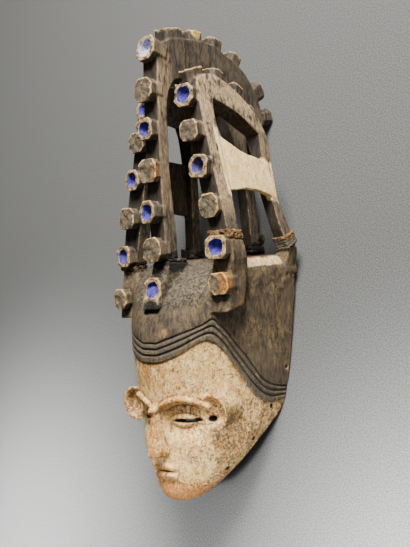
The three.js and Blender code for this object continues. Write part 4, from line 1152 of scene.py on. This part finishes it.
def fibre_material():
    t = Tree("wound_fibre")
    mp = t.attr("mp", True)
    n = t.noise(t.stretch(mp, 1, 1, 3.0), 6.0, 4.0, 0.6)
    m = t.noise(mp, 1.8, 3.0, 0.6)
    col = t.mix(t.step(n, 0.4, 0.62), lin(52, 37, 25), lin(140, 100, 60))
    col = t.mix(t.mul(t.step(m, 0.54, 0.64), 0.5), col, lin(176, 142, 92))
    grey = t.mix(t.step(n, 0.4, 0.62), lin(50, 45, 39), lin(116, 104, 86))
    col = t.mix(t.step(t.add(t.attr("grey"), t.mul(t.math("SUBTRACT", m, 0.5), 0.5)), 0.4, 0.6), col, grey)
    col = t.mix(t.mul(t.step(m, 0.46, 0.38), 0.7), col, lin(28, 23, 20))
    # painted shade between the turns of fibre
    col = t.mix(t.mul(t.attr("crevice_shade"), 0.8), col, lin(18, 13, 10))
    return t.finish(col, t.step(m, 0.3, 0.7, 0.92, 0.72), t.add(n, t.mul(m, 0.4)), 0.8, 0.0008)


def resin_material():
    t = Tree("resin")
    mp = t.attr("mp", True)
    n = t.noise(mp, 4.0, 4.0, 0.6)
    m = t.noise(mp, 1.4, 3.0, 0.6)
    col = t.mix(t.step(n, 0.4, 0.65), lin(20, 18, 17), lin(56, 48, 41))
    col = t.mix(t.mul(t.step(m, 0.56, 0.64), 0.6), col, lin(120, 108, 90))
    return t.finish(col, t.step(n, 0.35, 0.65, 0.45, 0.8), t.add(n, m), 0.7, 0.0008, 0.5)


# ------------------------------------------------------------------ pieces
ARCH_WOOD, HELMET_WOOD, FIBRE, RESIN = arch_material(), helmet_material(), fibre_material(), resin_material()
# black resin round the repaired feet; the spot at (0, -88, 215) is a painted shadow under the front ledge, not resin
RESIN_AND_SHADOW_SPOTS = [((0, -56, 264), 15, 28), ((0, -88, 215), 5, 14), ((-72, -42, 259), 8, 18), ((15, 71, 268), 12, 20), ((-78, 62, 270), 8, 15), ((76, -40, 288), 2, 9), ((78, 60, 274), 3, 9)]


def resin_and_shadow_mask(v, seed):
    out = np.zeros(len(v))
    wob = 5 * noise(v[:, 0] / 9, v[:, 1] / 9, v[:, 2] / 9, seed)
    for at, full, none in RESIN_AND_SHADOW_SPOTS:
        r = np.sqrt((((v - np.array(at, float)) * np.array([0.8, 0.9, 1.5])) ** 2).sum(1)) + wob
        out = np.maximum(out, smooth(none, full, r))
    return out


def common(me, v, knobs, seed):
    fine, broad = bend(me, v, (3, 12))
    blue, ends, pale, tone, rim = knob_marks(v, knobs)
    attribute(me, "edge", clamp(smooth(0.05, 0.5, fine) * 0.5 + smooth(0.2, 1.1, broad) * 0.6, 0, 1))
    # painted shade mask: the hollows that the smoothing finds, left off the blue cups
    attribute(me, "crevice_shade", clamp(smooth(0.08, 0.5, -fine) * 0.5 + smooth(0.25, 1.4, -broad) * 0.7, 0, 1) * (1 - blue))
    for name, values in (("blue", blue), ("ends", ends), ("pale", pale), ("rim", rim), ("resin_and_shadow", resin_and_shadow_mask(v, seed))):
        attribute(me, name, values)
    chip = smooth(8.5, 6.5, np.sqrt((((v - np.array([10.0, 3.0, 527.0])) * np.array([0.8, 1.0, 0.75])) ** 2).sum(1)))
    faded = 0.9 * smooth(17, 15, np.sqrt(((v - np.array([0.0, -70.0, 498.0])) ** 2).sum(1)))
    attribute(me, "scar", chip)
    attribute(me, "faded", faded)
    return tone


def build_arch(name, field, knobs, lo, hi, light, painted_lit_side, seed):
    me, v = mesh_piece(name, field, lo, hi, 1.1, 185000)
    tone = common(me, v, knobs, seed)
    attribute(me, "light", light(v))
    n = np.zeros(len(v) * 3, F)
    me.vertices.foreach_get("normal", n)
    n = n.reshape(-1, 3)
    # painted shade on the faces that look to the front, then on the sides of the upright top knobs; on the centre arch
    # the upper beam is darkened as well
    painted_shade_and_dark_beam = smooth(0.3, 0.8, -n[:, 1]) * smooth(0.8, 0.3, np.abs(n[:, 0]))
    for kn in knobs:
        if not kn.flare:
            q = kn.local(v)
            on = (np.abs(q[:, 0]) < kn.size / 2 + 1.5) & (np.abs(q[:, 1]) < kn.tall / 2 + 1.5) & (q[:, 2] > 0)
            painted_shade_and_dark_beam = np.maximum(painted_shade_and_dark_beam, 0.7 * on * smooth(kn.rise - 1.0, kn.rise - 3.5, q[:, 2]) * smooth(-1, 2, q[:, 2]))
    # painted light on the outward (+X) faces above z 300, the knobs left out: the left arch's outer side and the centre
    # arch's front post
    out = smooth(0.2, 0.7, n[:, 0]) * smooth(300, 330, v[:, 2]) * (1 - tone)
    if name == "arch_centre":
        painted_shade_and_dark_beam = np.maximum(painted_shade_and_dark_beam, 0.5 * smooth(425, 455, v[:, 2]) * smooth(-58, -44, v[:, 1]))
        attribute(me, "painted_lit_side", (0.45 + 0.22 * smooth(425, 445, v[:, 2])) * out * smooth(506, 490, v[:, 2]) * smooth(-38, -52, v[:, 1]))
    else:
        attribute(me, "painted_lit_side", painted_lit_side * out * smooth(8, 13, v[:, 0] - outer_x(v[:, 1], v[:, 2])))
    attribute(me, "painted_shade_and_dark_beam", painted_shade_and_dark_beam)
    return finish_piece(name, me, v, ARCH_WOOD, name)


def panel_light(outline, panel, side, amount):
    def light(v):
        x, y, z = v[:, 0] * side, v[:, 1], v[:, 2]
        out = smooth(12, -3, panel(y, z)) * smooth(-15, 1, outline(y, z)) * smooth(-2, 6, x - outer_x(y, z))
        post = 0.12 * smooth(20, 6, np.abs(y + 27)) * smooth(300, 330, z) * smooth(420, 380, z) * smooth(8, 13, x - outer_x(y, z))
        return amount * np.maximum(out, post)
    return light


build_arch("arch_left", outer_arch(1), KN_LEFT, (18, -76, 262), (98, 86, 490), panel_light(OUTLINE_L, PANEL_L, 1, 1.0), 1.0, 3)
build_arch("arch_right", outer_arch(-1), KN_RIGHT, (-100, -82, 252), (-18, 86, 490), panel_light(OUTLINE_R, PANEL_R, -1, 0.0), 0.0, 5)
build_arch("arch_centre", centre_arch, KN_CENTRE, (-24, -100, 255), (36, 142, 538), lambda v: 0 * v[:, 0], 0.0, 7)


def build_helmet():
    me, v = mesh_piece("helmet", helmet, (-98, -118, -8), (98, 96, 300), 1.2, 190000)
    common(me, v, KN_HELMET, 9)
    x, y, z = v[:, 0], v[:, 1], v[:, 2]
    ax = np.abs(x)
    s = round_head(ax, y, z)
    up = (z - hairline(s)) * hair_cos(s)
    hx = head(x, y, z)
    inner = np.maximum(smooth(-7.5, -9.5, hx), smooth(-11, -14, z - roof(x, y)) * smooth(-7.5, -9.5, hx + 0 * x))
    knobby = np.zeros(len(v))
    for kn in KN_HELMET:
        knobby = np.maximum(knobby, smooth(kn.reach, kn.reach - 4, np.sqrt(((v - kn.at) ** 2).sum(1))))
    wob = 1.0 * noise(x / 3, y / 3, z / 3, 21)
    kaolin = smooth(0.6, -0.6, up + 0.5 * wob)
    n = np.zeros(len(v) * 3, F)
    me.vertices.foreach_get("normal", n)
    n = n.reshape(-1, 3)
    raw = smooth(68, 71, ax) * smooth(249, 253, z + wob) * smooth(0.2, 0.45, n[:, 2]) * smooth(-26, -20, y) * smooth(52, 46, y)
    ash = smooth(206, 226, z) * smooth(-14, -40, y) * smooth(62, 54, ax) + 0.2 * smooth(245, 258, z) * smooth(0.3, 0.7, n[:, 2])
    flank = smooth(30, 60, ax) * smooth(120, 160, z) + 0.5 * smooth(60, 30, ax) * smooth(180, 200, z)
    band = smooth(1.5, -1.5, z - hairtop(s) - 1.5) * smooth(-0.5, 1.0, up)
    soil = 0.2 + 0.3 * smooth(26, 80, s) * smooth(136, 92, z) - 0.06 * smooth(40, 20, s) - 0.12 * smooth(60, 76, s) * bell(z - 112, 16) + 0.075 - 0.105 * smooth(118, 130, z) * smooth(60, 40, s)
    soil = soil + 0.14 * smooth(5.0, 1.5, ear_field(ax, y, z)) * smooth(1.5, 5.0, hx)
    jut = clamp(face_relief(s, ax, z) / 9, 0, 1)
    on_ear = smooth(2.5, 0.5, ear_field(ax, y, z)) * smooth(1.5, 5.0, hx)
    brow = bell(z - 114, 6) * smooth(66, 58, s)
    warm = 0.2 + 0.6 * smooth(36, 12, z) + 0.35 * jut * smooth(16, 8, s) * smooth(120, 100, z) + 0.13 * bell(s - 8, 14) * smooth(118, 130, z) + 0.2 * brow + 0.14 * on_ear
    edge = np.zeros(len(v), F)
    me.attributes["edge"].data.foreach_get("value", edge)
    warm = warm + 0.2 * edge + 0.1 * smooth(116, 132, z) * smooth(66, 30, s) - 0.12 * on_ear
    # painted shade mask for the walls of the eye slits, the ear holes and the tie holes
    cut = np.zeros(len(v))
    cut = np.maximum(cut, smooth(-1.0, -4.5, hx) * smooth(-12, -9, hx) * smooth(1.35, 1.15, np.sqrt(((ax - 31) / 12.5) ** 2 + ((z - (BROW_Z - 15)) / 2.1) ** 2)) * (y < -40))
    for hy, hz in HOLES:
        cut = np.maximum(cut, smooth(3.3, 2.5, np.hypot(y - hy, z - hz)) * smooth(0.4, -1.0, hx))
    cut = np.maximum(cut, smooth(3.9, 3.1, np.hypot(ax - 54.5, z - 94)) * (y < -25))
    worn = np.zeros(len(v), F)
    me.attributes["pale"].data.foreach_get("value", worn)
    corner = 0.6 * smooth(13, 4, np.sqrt((x - 88) ** 2 + (y + 38) ** 2 + (z - 212) ** 2))
    me.attributes["pale"].data.foreach_set("value", np.maximum(worn, corner).astype(F))
    attribute(me, "kaolin", kaolin * (1 - knobby))
    attribute(me, "inner", np.maximum(inner, 0) * (y < 200))
    attribute(me, "flank", flank)
    attribute(me, "ash", clamp(ash, 0, 1))
    # the incised grooves are added to the painted shade in the hollows
    lines = clamp(groove_depth(s, z) / 1.9, 0, 1) * (ax < 200) * smooth(4, 0, np.abs(hx - 1.2) - 2)
    crevice_shade = np.zeros(len(v), F)
    me.attributes["crevice_shade"].data.foreach_get("value", crevice_shade)
    me.attributes["crevice_shade"].data.foreach_set("value", np.maximum(crevice_shade, lines).astype(F))
    attribute(me, "band", band)
    patch = smooth(1.3, 0.5, np.hypot((s - 19) / 8, (z - 187 - 0.3 * (s - 19)) / 6) + 0.35 * noise(x / 4, y / 4, z / 4, 47)) * (x > 0) * smooth(0, 1.5, z - hairtop(s) - 1.5)
    attribute(me, "raw", np.maximum(raw, 0.52 * patch))
    attribute(me, "soil", soil)
    attribute(me, "warm", warm)
    attribute(me, "cut", cut)
    return finish_piece("helmet", me, v, HELMET_WOOD, "helmet")


build_helmet()


def build_repair(name, field, lo, hi, material, h=0.7, grey=None):
    me, v = mesh_piece(name, field, lo, hi, h, 40000)
    attribute(me, "grey", smooth(grey + 1.5, grey - 1.5, v[:, 2]) if grey else 0 * v[:, 0])
    fine, broad = bend(me, v, (2, 6))
    # painted shade mask in the hollows of a repair
    attribute(me, "crevice_shade", clamp(smooth(0.02, 0.3, -fine) * 0.8, 0, 1))
    return finish_piece(name, me, v, material, name)


def num(f, y, z):
    return float(f(np.array(float(y)), np.array(float(z))))


build_repair("repair_left_front", slab_field([[-51.0, 284.8], [-31, 282.6], [-30.2, 291.0], [-51.0, 292.0]], outer_x, ARCH_HALF + 1.0, 1.3, 31), (50, -60, 276), (92, -20, 297), FIBRE)
build_repair("repair_centre_front", slab_field([[-69, 263.4], [-42, 262.6], [-42, 265.6], [-69, 265.6]], lambda y, z: 0 * y, CENTRE_HALF + 0.3, 0.7, 33), (-20, -76, 256), (20, -34, 272), RESIN)
build_repair("repair_right_front", slab_field([[-51, 256.6], [-31, 254.8], [-31, 260.3], [-51, 260.3]], lambda y, z: -outer_x(y, z), ARCH_HALF - 0.9, 0.7, 35), (-96, -60, 248), (-52, -22, 267), FIBRE)
_x = num(rear_x, 60, 278) + 0.2
build_repair("binding_left_rear", collar_field([_x, 56.7, 278], [-0.11, -0.41, 1], 16.8, 16.4, 2.5, 15, 4, 0.6, 37), (_x - 20, 34, 262), (_x + 20, 80, 296), FIBRE, 0.6, 279)
_x = -num(rear_x, 60, 271) - 0.2
build_repair("binding_right_rear", collar_field([_x, 61.4, 270.6], [0.11, -0.06, 1], 18.6, 19, 3.3, 11, 0, 0.9, 39), (_x - 20, 38, 258), (_x + 20, 84, 286), RESIN)
_x = num(centre_x, 71, 270)
build_repair("binding_centre_rear", collar_field([_x, 71.2, 269.6], [0, 0.02, 1], 18.6, 20.4, 2.8, 8, 0, 0.8, 41), (_x - 24, 50, 258), (_x + 24, 92, 281), RESIN)


# ------------------------------------------------------------------ floor, light and camera
def floor_material():
    t = Tree("floor")
    n = t.nt.nodes.new("ShaderNodeTexCoord").outputs["Object"]
    col = t.mix(t.step(t.noise(n, 620.0, 3.0, 0.7), 0.34, 0.66), lin(76, 77, 77), lin(108, 109, 109))
    return t.finish(col, t.step(t.noise(n, 3.0, 2.0), 0.3, 0.7, 0.9, 0.95), t.noise(n, 800.0, 2.0), 0.2, 0.0003, 0.2)


bpy.ops.mesh.primitive_plane_add(size=9.0, location=(0, 1.5, 0))
floor = bpy.context.object
floor.name = "floor"
floor.data.materials.append(floor_material())

AZ, EL, ROLL = math.radians(43.0), math.radians(1.5), math.radians(-4.2)
DIST, FOCAL = 843.0, 720.0
TARGET, AT_PIXEL = np.array([0.0, 0.0, 256.0]), (205.0, 265.0)
back = np.array([math.sin(AZ) * math.cos(EL), -math.cos(AZ) * math.cos(EL), math.sin(EL)])
right0 = np.array([math.cos(AZ), math.sin(AZ), 0.0])
up0 = np.cross(back, right0)
right = math.cos(ROLL) * right0 + math.sin(ROLL) * up0
up = -math.sin(ROLL) * right0 + math.cos(ROLL) * up0
_px, _py = (AT_PIXEL[0] - 205) / FOCAL, -(AT_PIXEL[1] - 273.5) / FOCAL
eye = TARGET - DIST * (-back + _px * right + _py * up)
cam_data = bpy.data.cameras.new("camera")
cam_data.lens = FOCAL / 547 * 36
cam_data.sensor_width = 36
cam_data.clip_start = 0.01
cam = bpy.data.objects.new("camera", cam_data)
R, U, B = LIE @ right, LIE @ up, LIE @ back
E = lay(eye)
cam.matrix_world = Matrix(((R[0], U[0], B[0], E[0]), (R[1], U[1], B[1], E[1]), (R[2], U[2], B[2], E[2]), (0, 0, 0, 1)))
bpy.context.scene.collection.objects.link(cam)
bpy.context.scene.camera = cam


def area(name, toward, dist, size, energy, colour, target=(0.0, 0.0, 0.1)):
    data = bpy.data.lights.new(name, "AREA")
    data.shape = "DISK"
    data.size = size
    data.energy = energy
    data.color = colour
    ob = bpy.data.objects.new(name, data)
    d = Vector(toward).normalized()
    ob.location = Vector(target) + d * dist
    ob.rotation_euler = d.to_track_quat("Z", "Y").to_euler()
    bpy.context.scene.collection.objects.link(ob)
    return ob


area("key", (0.3, 0.66, 0.69), 1.9, 0.75, 130, (1.0, 0.97, 0.92), (0, 0.02, 0.1))
for name, x, watts in (("sweep_left", -0.36, 5.6), ("sweep_right", 0.34, 9.5)):
    sweep = area(name, (0.0, -0.05, 1.0), 0.9, 0.3, watts, (1.0, 0.99, 0.97), (x, -0.42, 0.0))
    sweep.data.spread = math.radians(44)
area("fill", (0.75, -0.2, 0.8), 1.8, 1.2, 4.5, (0.95, 0.97, 1.0))
world = bpy.data.worlds.new("studio")
bpy.context.scene.world = world
world.use_nodes = True
world.node_tree.nodes["Background"].inputs[0].default_value = (0.9, 0.95, 1.0, 1)
world.node_tree.nodes["Background"].inputs[1].default_value = 0.06
